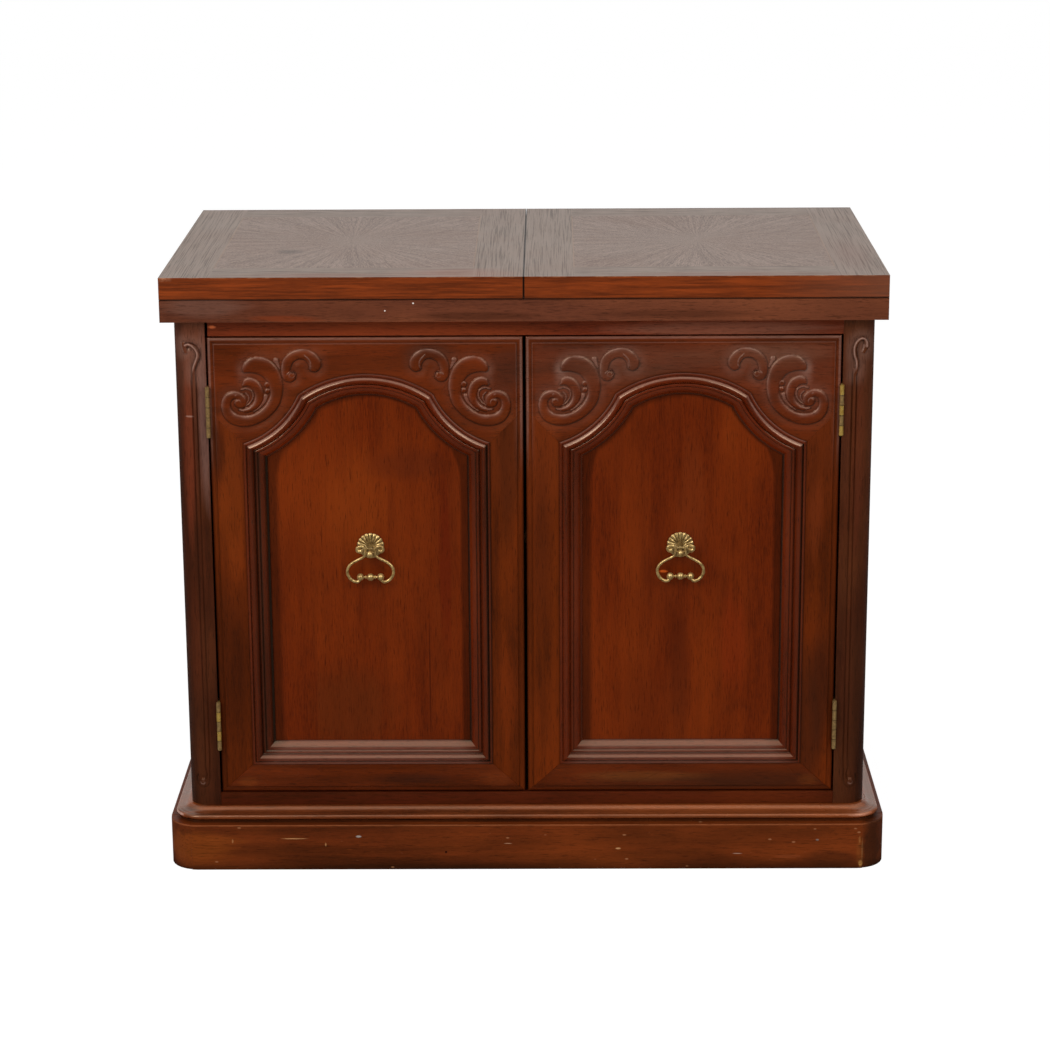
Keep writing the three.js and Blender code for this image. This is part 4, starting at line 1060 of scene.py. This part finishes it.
# Painted shade lines on each run of moulding: (inset, width, amount).
MOULD_SHADES = {
    "left": [(0.2, 0.9, 0.2), (3.9, 0.8, 0.4), (13.6, 1.2, 0.3), (18.2, 1.0, 0.45), (28.4, 2.6, 0.8),
             (9.0, 9.0, 0.35), (20.0, 9.0, 0.4)],
    "right": [(0.2, 0.9, 0.5), (4.6, 1.4, 0.75), (14.2, 1.0, 0.35), (18.8, 0.8, 0.35), (29.0, 1.4, 0.9),
              (12.0, 12.0, 0.3)],
    "head": [(0.2, 0.8, 0.3), (3.9, 0.5, 0.4), (14.2, 0.7, 0.7), (18.6, 0.6, 0.55), (28.8, 1.6, 0.7)],
    "foot": [(0.2, 0.9, 0.6), (3.9, 0.8, 0.85), (9.0, 0.6, 0.35), (14.2, 0.9, 0.9), (18.6, 0.7, 0.75),
             (23.0, 0.6, 0.5), (30.0, 1.0, 0.6)],
}
# How strongly each run of each door is painted with shade, by how it faces the lamps.
RUN_SHADE = {
    ("left", "left"): 1.15, ("left", "right"): 1.35, ("right", "left"): 0.55, ("right", "right"): 1.15,
}
# Painted highlight along the head's bead crest and outer edge, and painted sheen over the foot run.
BEAD_CREST = 6.0
BEAD_EDGE = 0.7
FOOT_SHEEN = 0.16
SIDE_STEPS = 12
mould_finish = wood_finish("moulding_stain", "681f02", "3f1001", "832d05", "X", 0.17, shine=1.0, fine=0.9,
                           run=True)


def panel_outline(inset):
    """Closed outline of the opening drawn in by an inset, starting and ending at the lower left corner."""
    low = rail_height + inset
    wide = half_arch - inset
    head = arch_line(inset, 48, 96)
    shares = [k / SIDE_STEPS for k in range(SIDE_STEPS + 1)]
    bottom = [np.array([-wide + 2 * wide * share, low]) for share in shares]
    right = [np.array([wide, low + (head[0][1] - low) * share]) for share in shares[1:-1]]
    left = [np.array([-wide, head[-1][1] + (low - head[-1][1]) * share]) for share in shares[1:]]
    return np.array(bottom + right + list(head) + left)


def lengths_along(points):
    """The length of a broken line up to each of its points."""
    return np.concatenate([[0], np.cumsum(np.hypot(*np.diff(np.array(points), axis=0).T))])


run_lengths = lengths_along(panel_outline(12))
profile_lengths = lengths_along(MOULD_PROFILE)
mould_faces = loft_faces(len(MOULD_PROFILE), len(run_lengths), ring=False, caps=False, wrap=True)
for side, label in ((-1, "left"), (1, "right")):
    points = []
    runs = []
    painted_shade_and_patina = []
    highlight_and_wear = []
    for (inset, depth), across in zip(MOULD_PROFILE, profile_lengths):
        bead_highlight = float(0.6 * fall(inset - BEAD_CREST, 1.1) + 0.35 * fall(inset - BEAD_EDGE, 0.6))
        for place, length in zip(panel_outline(inset), run_lengths):
            points.append((side * (door_middle + place[0]), case_front + depth, door_foot + place[1]))
            if abs(place[0]) > half_arch - inset - 0.01:
                run = "left" if side * place[0] < 0 else "right"
            else:
                run = "foot" if place[1] < rail_height + inset + 0.01 else "head"
            runs.append((length * MM, across * MM, 0.0))
            shade_lines = sum(most * float(fall(inset - at, wide)) for at, wide, most in MOULD_SHADES[run])
            painted_shade_and_patina.append(min(1.0, RUN_SHADE.get((label, run), 1.0) * shade_lines))
            head_highlight = bead_highlight if abs(place[0]) > CUSP_HALF_WIDTH else 0.6 * bead_highlight
            highlight_and_wear.append({"head": head_highlight, "foot": FOOT_SHEEN}.get(run, 0.0))
    body = label + "_door"
    put_mesh(body + "_arched_moulding", points, mould_faces, mould_finish, body,
             [body + "_moulding"], {"run": runs, "painted_shade_and_patina": painted_shade_and_patina, "highlight_and_wear": highlight_and_wear}, 28)


# Door panels
# Thin flat panels with an upright ribbon veneer, redder than the frame, let into the back of the frame.
# They are kept from the imported solids, with the veneer's fine stripes in the finish and a painted shadow
# where the moulding meets them, wider on the left side.
MOULD_WIDTH = 30
# How far the painted shadow reaches onto a panel on its right and on its left side.
SHADOW_REACH = (4.5, 8.0)
PANEL_MARKS = [
    (-125.5, 240.0, 0.9, 90, "2a0e05", 0.6), (-104.0, 400.0, 9, 130, "561404", 0.6),
    (-220.0, 480.0, 45, 80, "86380c", 0.32), (-230.0, 210.0, 60, 60, "56240a", 0.5),
    (-150.0, 540.0, 50, 24, "4e1c0a", 0.4), (140.0, 470.0, 26, 90, "84340a", 0.22),
    (215.0, 480.0, 20, 100, "6e2c0e", 0.4), (200.0, 250.0, 14, 110, "4a1806", 0.5),
    (270.0, 300.0, 22, 70, "7c2808", 0.4), (119.0, 162.0, 1.4, 2.0, "e0a890", 0.8),
    (179.0, 396.4, 5, 1.6, "c8581c", 0.9),
]


def panel_edge_shadow(bare):
    """Painted shadow on the panel where the moulding meets it, widest on the left."""
    x, _, height = axes_of(bare)
    local = maths("SUBTRACT", maths("ABSOLUTE", x), door_middle * MM)
    apart = maths("ABSOLUTE", local)
    over = maths("MAXIMUM", height, (door_foot + head_centre[1]) * MM)
    nearest = maths("SUBTRACT", (half_arch - MOULD_WIDTH) * MM, apart)
    for centre, level, sign, radius in (
        (head_centre, over, 1, head_radius - MOULD_WIDTH),
        (flank_centre, height, -1, flank_radius + MOULD_WIDTH),
    ):
        spot = step(bare.id_data, "CombineXYZ", {0: apart, 1: level, 2: 0.0}).outputs[0]
        middle = (centre[0] * MM, (door_foot + centre[1]) * MM, 0)
        away = step(bare.id_data, "VectorMath", {0: spot, 1: middle}, operation="DISTANCE").outputs["Value"]
        nearest = maths("MINIMUM", nearest, maths("MULTIPLY_ADD", away, -sign, sign * radius * MM))
    on_left_door = maths("LESS_THAN", x, 0.0)
    inner_half = maths("LESS_THAN", local, 0.0)
    left_half = maths("ABSOLUTE", maths("SUBTRACT", on_left_door, inner_half))
    reach = ramp(left_half, 0.0, 1.0, SHADOW_REACH[0] * MM, SHADOW_REACH[1] * MM)
    return ramp(nearest, 0.0, reach, 0.5, 0.0, interpolation_type="SMOOTHSTEP")


panel_finish = wood_finish("panel_veneer", "6e2505", "471605", "873509", fine=1.25, figure=0.4,
                           marks=PANEL_MARKS, edge=panel_edge_shadow)
for label in ("left", "right"):
    soften(label + "_door_panel", 0.2, panel_finish)


# Drop pulls
# Cast antique brass: a fan-shaped back plate, a turned stem with a ball end, and a wire bail whose two arms
# curl at the top and carry a turned bar between end knobs. Patina stays dark in the hollows.
FAN_RADIUS = 17.5
FAN_FOCUS = 5.2
FAN_PETALS = 11
FAN_LOW = math.radians(-18)
FAN_STEPS = 176
FAN_SHARES = [1.0, 0.985, 0.955, 0.9, 0.83, 0.74, 0.64, 0.54, 0.45, 0.37, 0.31, 0.26, 0.2, 0.12, 0.02]
FAN_CREST = 0.62
FAN_CREST_HALF = 0.385
FAN_HUB = 0.3
SCALLOPED_FROM = 15.8
SCALLOP_DEPTH = 0.9
TAIL_FOOT = -22
TAIL_STEPS = 40
STEM_SIDES = 40
STEM_DROP = 1.2
BAR_DROP = 33
STUB_RADIUS = 0.9
STUB_ENDS = (0.5, 6.4)
BAIL_STEPS = 120
BAIL_SHARES = [0, 0.03, 0.07, 0.2, 0.34, 0.5, 0.75, 0.9, 1]
BAIL_RADII = [2.5, 2.8, 2.5, 2.1, 1.75, 1.7, 1.95, 2.1, 1.7]
STEM_PROFILE = [
    (0.0, 10.6), (4.6, 10.4), (4.7, 9.4), (3.9, 8.6), (3.2, 7.9), (3.0, 6.8), (3.0, 1.4), (3.1, -1.0),
    (2.7, -2.2), (2.9, -3.2), (3.8, -4.0), (4.4, -5.2), (4.65, -6.6), (4.5, -8.0), (3.9, -9.3),
    (2.8, -10.3), (1.4, -10.85), (0.0, -10.95),
]
BAIL_ARM = [
    (10.5, 2.7), (13.6, 1.2), (16.4, 3.2), (15.9, 6.4), (12.6, 7.9), (9.0, 7.4), (6.9, 4.6), (6.4, 0.0),
    (7.4, -4.4), (11.2, -7.5), (17.0, -10.4), (23.3, -14.2), (28.1, -19.3), (29.9, -25.4), (28.4, -31.5),
    (24.0, -37.0), (18.0, -39.4), (14.2, -37.2), (13.3, -33.6),
]
BAIL_BAR = [
    (-17.6, 0.4), (-17.2, 2.2), (-16.2, 3.8), (-14.6, 4.7), (-12.7, 4.9), (-10.8, 4.3), (-9.5, 3.0),
    (-8.9, 1.8), (-8.0, 1.3), (-7.0, 1.3), (-6.6, 2.2), (-5.9, 2.4), (-5.2, 2.1), (-4.9, 1.4),
    (-4.4, 1.5), (-4.0, 2.6), (-3.1, 3.8), (-1.7, 4.5), (0.0, 4.7),
]


def around(profile, axis, centre, sides):
    """Points and faces of a turned form from (radius, place along the axis) pairs."""
    points = []
    for radius, along in profile:
        for k in range(sides):
            turn = 2 * math.pi * k / sides
            a, b = radius * math.cos(turn), radius * math.sin(turn)
            local = (along, a, b) if axis == "x" else (a, along, b)
            points.append(tuple(c + v for c, v in zip(centre, local)))
    return points, loft_faces(len(profile), sides)


def wire(line, radii, sides=16):
    """Points and faces of a bent round wire that thickens and thins along a flat line in X and Z."""
    line = np.asarray(line)
    ways = np.gradient(line, axis=0)
    ways /= np.linalg.norm(ways, axis=1)[:, None]
    points = []
    for (x, z), (wx, wz), radius in zip(line, ways, radii):
        for k in range(sides):
            turn = 2 * math.pi * k / sides
            out = radius * math.cos(turn)
            points.append((x - wz * out, radius * math.sin(turn), z + wx * out))
    return points, loft_faces(len(line), sides)


def joined(forms):
    """One set of points and faces from several closed forms."""
    points = []
    faces = []
    for form_points, form_faces in forms:
        start = len(points)
        turned = faced_outward(np.asarray(form_points, dtype=float), form_faces)
        points += [tuple(p) for p in form_points]
        faces += [tuple(i + start for i in face) for face in turned]
    return points, faces


old_brass = metal_finish("antique_brass", "e6c480", "876636", 0.3, 260, coat=0.1)
plate_low, plate_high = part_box("right_pull_plate")
pull_middle = (plate_low[0] + plate_high[0]) / 2 / MM
plate_back = plate_high[1] / MM
pull_height = plate_high[2] / MM - FAN_RADIUS - FAN_FOCUS
bail_pivot = case_front - 1.5

lobe_x = FAN_RADIUS * math.cos(FAN_LOW)
lobe_z = FAN_FOCUS + FAN_RADIUS * math.sin(FAN_LOW)
fan_rim = []
for k in range(FAN_STEPS + 1):
    turn = FAN_LOW + (math.pi - 2 * FAN_LOW) * k / FAN_STEPS
    scallop = 1 - abs(math.sin(math.pi * FAN_PETALS * k / FAN_STEPS)) ** 0.7
    fan_rim.append((turn, FAN_RADIUS - SCALLOP_DEPTH * scallop, scallop))
for k in range(1, TAIL_STEPS):
    t = k / TAIL_STEPS
    x = (t ** 2 - (1 - t) ** 2) * lobe_x
    z = (t ** 2 + (1 - t) ** 2) * lobe_z + 2 * t * (1 - t) * TAIL_FOOT
    fan_rim.append((math.atan2(z - FAN_FOCUS, x), math.hypot(x, z - FAN_FOCUS), 1.0))
fan_points = [(r * math.cos(t), plate_back - 0.05, FAN_FOCUS + r * math.sin(t)) for t, r, _ in fan_rim]
fan_glaze = [0.6] * len(fan_rim)
for share in FAN_SHARES:
    swell = float(rounded(share - FAN_CREST, FAN_CREST_HALF))
    for turn, radius, scallop in fan_rim:
        petal = 1 - scallop if turn >= FAN_LOW and radius > SCALLOPED_FROM else 0.6
        rise = 0.5 + 2.4 * swell * (0.35 + 0.65 * petal) if share > FAN_HUB else 1.0
        out = radius * share
        fan_points.append((out * math.cos(turn), plate_back - rise, FAN_FOCUS + out * math.sin(turn)))
        fan_glaze.append(min(1.0, 0.7 * (1 - petal) * (1 - 0.3 * share) + (0.15 if share < FAN_HUB else 0.0)))
fan_faces = loft_faces(len(FAN_SHARES) + 1, len(fan_rim))

stem_glaze = []
for _, depth in STEM_PROFILE:
    neck = 0.4 if -3.0 < depth < 1 else 0.0
    stem_glaze += [0.5 if 1.0 < depth < 9.5 else neck] * STEM_SIDES

bail_radii = np.interp(np.linspace(0, 1, BAIL_STEPS), BAIL_SHARES, BAIL_RADII)
bar_profile = [(radius, at) for at, radius in BAIL_BAR]
bar_profile += [(radius, -at) for at, radius in reversed(BAIL_BAR[:-1])]
right_arm = wire(flow(BAIL_ARM, BAIL_STEPS), bail_radii)
left_arm = ([(-x, y, z) for x, y, z in right_arm[0]], right_arm[1])
bar = around(bar_profile, "x", (0, 0, -BAR_DROP), 32)
stubs = [around([(STUB_RADIUS, side * at) for at in STUB_ENDS], "x", (0, 0, 0), 16) for side in (1, -1)]
bail_points, bail_faces = joined([right_arm, left_arm, bar] + stubs)
for side, label in ((-1, "left"), (1, "right")):
    place = np.array([side * pull_middle, 0, pull_height])
    put_mesh(label + "_pull_fan", np.array(fan_points) + place, fan_faces, old_brass,
             label + "_door", [label + "_pull_plate"], {"painted_shade_and_patina": fan_glaze}, 60)
    stem_profile = [(radius, case_front + depth) for radius, depth in STEM_PROFILE]
    stem_points, stem_faces = around(stem_profile, "y", place - np.array([0, 0, STEM_DROP]), STEM_SIDES)
    put_mesh(label + "_pull_stem", stem_points, stem_faces, old_brass,
             label + "_door", [label + "_pull_post"], {"painted_shade_and_patina": stem_glaze}, 50)
    drop_points = np.array(bail_points) + place + np.array([0, bail_pivot, 0])
    put_mesh(label + "_pull_drop", drop_points, bail_faces, old_brass,
             label + "_bail", [label + "_pull_bail"], None, 60)


# Door hinges
# Plain brass butt hinges: only the knuckles show, proud of the joint between door and post.
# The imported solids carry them, with rounded ends and a lightly tarnished finish.
HINGE_KNUCKLES = 5
# Two hinge halves are given a brighter brass.
BRIGHTER_HALVES = ("left_door_hinge_lower_door_half", "right_door_hinge_upper_post_half")
knuckle_joints = []
for level in ("upper", "lower"):
    hinge_low, hinge_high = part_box(f"left_door_hinge_{level}_post_half")
    for k in range(1, HINGE_KNUCKLES):
        knuckle_joints.append((hinge_low[2] + (hinge_high[2] - hinge_low[2]) * k / HINGE_KNUCKLES) / MM)
hinge_finish = metal_finish("hinge_brass_worn", "c4a064", "907048", 0.36, 300, knuckle_joints)
hinge_bright = metal_finish("hinge_brass_brighter", "f0ca6c", "c89c46", 0.28, 300, knuckle_joints)
for label in ("left", "right"):
    for level in ("upper", "lower"):
        for owner in ("post", "door"):
            name = f"{label}_door_hinge_{level}_{owner}_half"
            soften(name, 0.25, hinge_bright if name in BRIGHTER_HALVES else hinge_finish, 35)


# Folding top
# One fixed board carries two hinged leaves of the same thickness. Each leaf has a field of veneer whose rays
# run out from its middle, inside a plain border set off by a fine light line; the edges are solid wood.
BORDER = 63.5
LINE_WIDTH = 1.8
TOP_SHEEN = (1.0, 0.78, 0.6, 1.0)
leaf_low, leaf_high = (np.array(corner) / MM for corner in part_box("left_leaf"))
top_left, top_front, leaf_foot = leaf_low
leaf_top = leaf_high[2]


def top_finish(name, middle_x, middle_y, half_x, half_y):
    """Leaf veneer: a field of rays round the middle, plain borders, and solid edges below."""
    material, tree, shader = blank_finish(name)
    coordinates = step(tree, "TexCoord").outputs
    bare = coordinates["Object"]
    bare_x, bare_y, height = axes_of(bare)
    facing = axes_of(coordinates["Normal"])[2]
    upward = maths("GREATER_THAN", facing, UPWARD)
    downward = maths("LESS_THAN", facing, -UPWARD)

    # Where a place lies: in the field, in the border at an end or side, or on the line between them.
    middle = (middle_x * MM, middle_y * MM, 0)
    local = step(tree, "VectorMath", {0: bare, 1: middle}, operation="SUBTRACT").outputs[0]
    x, y, _ = axes_of(local)
    over_x = maths("SUBTRACT", maths("ABSOLUTE", x), (half_x - BORDER) * MM)
    over_y = maths("SUBTRACT", maths("ABSOLUTE", y), (half_y - BORDER) * MM)
    in_border = maths("GREATER_THAN", maths("MAXIMUM", over_x, over_y), 0.0)
    in_field = maths("SUBTRACT", 1.0, in_border)
    in_end = maths("GREATER_THAN", over_x, 0.0)
    on_line = maths("LESS_THAN", maths("ABSOLUTE", over_x), LINE_WIDTH / 2 * MM)
    on_line = maths("MULTIPLY", on_line, maths("LESS_THAN", over_y, 0.0))

    # Grain of the field runs out from the middle, grain of the border lies in one direction.
    flat = step(tree, "VectorMath", {0: local, 1: (1, 1, 0)}, operation="MULTIPLY").outputs[0]
    reach = length_of(flat)
    polar = step(tree, "CombineXYZ", {0: maths("ARCTAN2", y, x), 1: reach, 2: 0.0}).outputs[0]
    rays = noise(polar, (30, 4, 1), 3.0, 0.75)
    fine_rays = noise(polar, (170, 50, 1), 2.0, 0.8)
    ray_sum = maths("MULTIPLY_ADD", rays, 0.35, maths("MULTIPLY", fine_rays, 0.65))
    ray_swing = maths("SUBTRACT", ramp(ray_sum, 0.4, 0.6), 0.5)
    ray_level = maths("MULTIPLY_ADD", ray_swing, ramp(reach, 0.02, 0.16, 1.0, 0.8), 0.5)
    speckle = maths("SUBTRACT", noise(bare, (420, 420, 420), 2.0, 0.6), 0.5)
    field_level = maths("MULTIPLY_ADD", speckle, 1.7, ray_level)
    end_pores = noise(bare, (860, 8, 30), 3.0, 0.7)
    side_pores = noise(bare, (16, 500, 30), 2.0, 0.75, 0.1)
    end_tone = noise(bare, (90, 7, 7), 3.0, 0.6)
    pores = ramp(mix(in_end, side_pores, end_pores), 0.38, 0.5)
    border_level = maths("MULTIPLY_ADD", pores, 0.66, maths("MULTIPLY", end_tone, 0.34))
    level = mix(in_border, field_level, border_level)
    cloud = noise(bare, (9, 9, 9), 3.0, 0.6)

    field = blend(level, tint("52443e"), tint("887062"))
    border = blend(level, tint("3a302b"), tint("7a6658"))
    veneer = blend(in_border, field, border)
    light_rays = maths("MULTIPLY", ramp(rays, 0.56, 0.68), ramp(reach, 0.02, 0.2, 0.4, 0.06))
    veneer = blend(maths("MULTIPLY", light_rays, in_field), veneer, tint("8a7668"))
    veneer = blend(ramp(reach, 0.0, 0.06, 0.4, 0.0), veneer, tint("7c6a5e"))
    veneer = blend(ramp(cloud, 0.42, 0.66, 0.0, 0.25), veneer, tint("5f3c28"))
    veneer = blend(maths("MULTIPLY", on_line, 0.35), veneer, tint("8a6a50"))
    for at_x, at_y, half_x, half_y, code, amount in TOP_MARKS:
        ragged = maths("MULTIPLY_ADD", cloud, 1.2, mark_gap(bare, (at_x, at_y, 0), (half_x, half_y, 0)))
        veneer = blend(ramp(ragged, 1.0, 1.75, amount, 0.0), veneer, tint(code))

    # The solid edge is redder, fades a little toward the right end and is worn along its rim and at the
    # left front corner. A dark line shows at the foot and along the seam between the leaves.
    edge_fibre = noise(bare, (14, 14, 420), 4.0, 0.75)
    edge_cloud = noise(bare, (6, 6, 60), 3.0, 0.6)
    edge = blend(ramp(edge_fibre, 0.38, 0.62), tint("582003"), tint("86360a"))
    edge = blend(ramp(edge_cloud, 0.4, 0.62, 0.0, 0.25), edge, tint("461802"))
    edge = blend(ramp(bare_x, 300 * MM, -top_left * MM, 0.0, 0.5), edge, tint("6e4634"))
    colour = blend(upward, edge, veneer)
    rim_low = ramp(height, (leaf_top - 1.2) * MM, (leaf_top - 0.6) * MM)
    rim_high = ramp(height, (leaf_top - 0.3) * MM, (leaf_top - 0.02) * MM, 1.0, 0.0)
    rim_wear = ramp(noise(bare, (70, 70, 70), 4.0, 0.7), 0.5, 0.62, 0.0, 0.7)
    colour = blend(maths("MULTIPLY", maths("MULTIPLY", rim_low, rim_high), rim_wear), colour, tint("9c7050"))
    corner = maths("SUBTRACT", 1.0, upward)
    for wear in (
        ramp(bare_x, (top_left + 7.2) * MM, (top_left + 19.2) * MM, 0.7, 0.0),
        ramp(bare_y, top_front * MM, (top_front + 4.2) * MM, 0.6, 0.0),
        ramp(height, (leaf_top - 5.5) * MM, (leaf_top - 1.5) * MM),
        ramp(noise(bare, (160, 160, 260), 3.0, 0.7), 0.42, 0.56),
    ):
        corner = maths("MULTIPLY", corner, wear)
    colour = blend(corner, colour, tint("c8906c"))
    foot_line = ramp(height, (leaf_foot + 0.3) * MM, (leaf_foot + 1.7) * MM, 0.9, 0.0)
    colour = blend(foot_line, colour, tint("120603"))

    under_fibre = noise(bare, (26, 420, 30), 4.0, 0.75)
    under_bands = noise(bare, (1.5, 22, 3), 3.0, 0.6, 0.4)
    under = blend(ramp(under_fibre, 0.38, 0.62), tint("4e2210"), tint("6a3318"))
    under = blend(ramp(under_bands, 0.4, 0.64, 0.0, 0.6), under, tint("3c190b"))
    colour = blend(downward, colour, under)
    seam_line = ramp(maths("ABSOLUTE", bare_x), 0.7 * MM, 1.8 * MM, 0.95, 0.0)
    colour = blend(seam_line, colour, tint("140904"))

    bump = step(tree, "Bump", {"Strength": 0.16, "Distance": 0.0003, "Height": level})
    plug(shader, {
        "Base Color": colour, "Roughness": mix(upward, 0.28, ramp(level, 0.2, 0.8, 0.52, 0.42)),
        "Normal": bump.outputs[0], "Specular IOR Level": 0.5, "Specular Tint": TOP_SHEEN,
    })
    return material


TOP_MARKS = [
    (-309.7, -70.2, 22, 16, "26160e", 0.6), (-92.8, -225.0, 90, 34, "7a4228", 0.5),
    (-250.0, -236.0, 120, 18, "6a3418", 0.5), (250.0, -236.0, 160, 16, "6a3418", 0.4),
    (420.0, -100.0, 30, 120, "5c3420", 0.4),
]
BOARD_MARKS = [
    (-138.4, 756.7, 1.0, 0.9, "f0e4d8", 0.9), (-174.0, 747.2, 1.0, 0.9, "f0e4d8", 0.9),
    (-400, 750, 50, 14, "6a4a3e", 0.5), (-60, 740, 70, 5, "34160a", 0.5),
    (200, 742, 100, 5, "3a1a0c", 0.4), (-300, 738, 50, 5, "7a3010", 0.5),
]
board_finish = wood_finish("board_stain", "6b3925", "432116", "84472a", "X", 0.34, coat=0.12,
                           levels=[(760.1, 760.9, "120603", 0.9)], marks=BOARD_MARKS)
soften("top_board", 0.8, board_finish)
for label in ("left", "right"):
    low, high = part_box(label + "_leaf")
    centre = [(low[i] + high[i]) / 2 / MM for i in (0, 1)]
    halves = [(high[i] - low[i]) / 2 / MM for i in (0, 1)]
    soften(label + "_leaf", 0.7, top_finish(label + "_leaf_veneer", *centre, *halves))
    for end in ("front", "back"):
        for owner in ("board", "leaf"):
            soften(f"{label}_leaf_hinge_{end}_{owner}_half", 0.25, hinge_finish, 35)
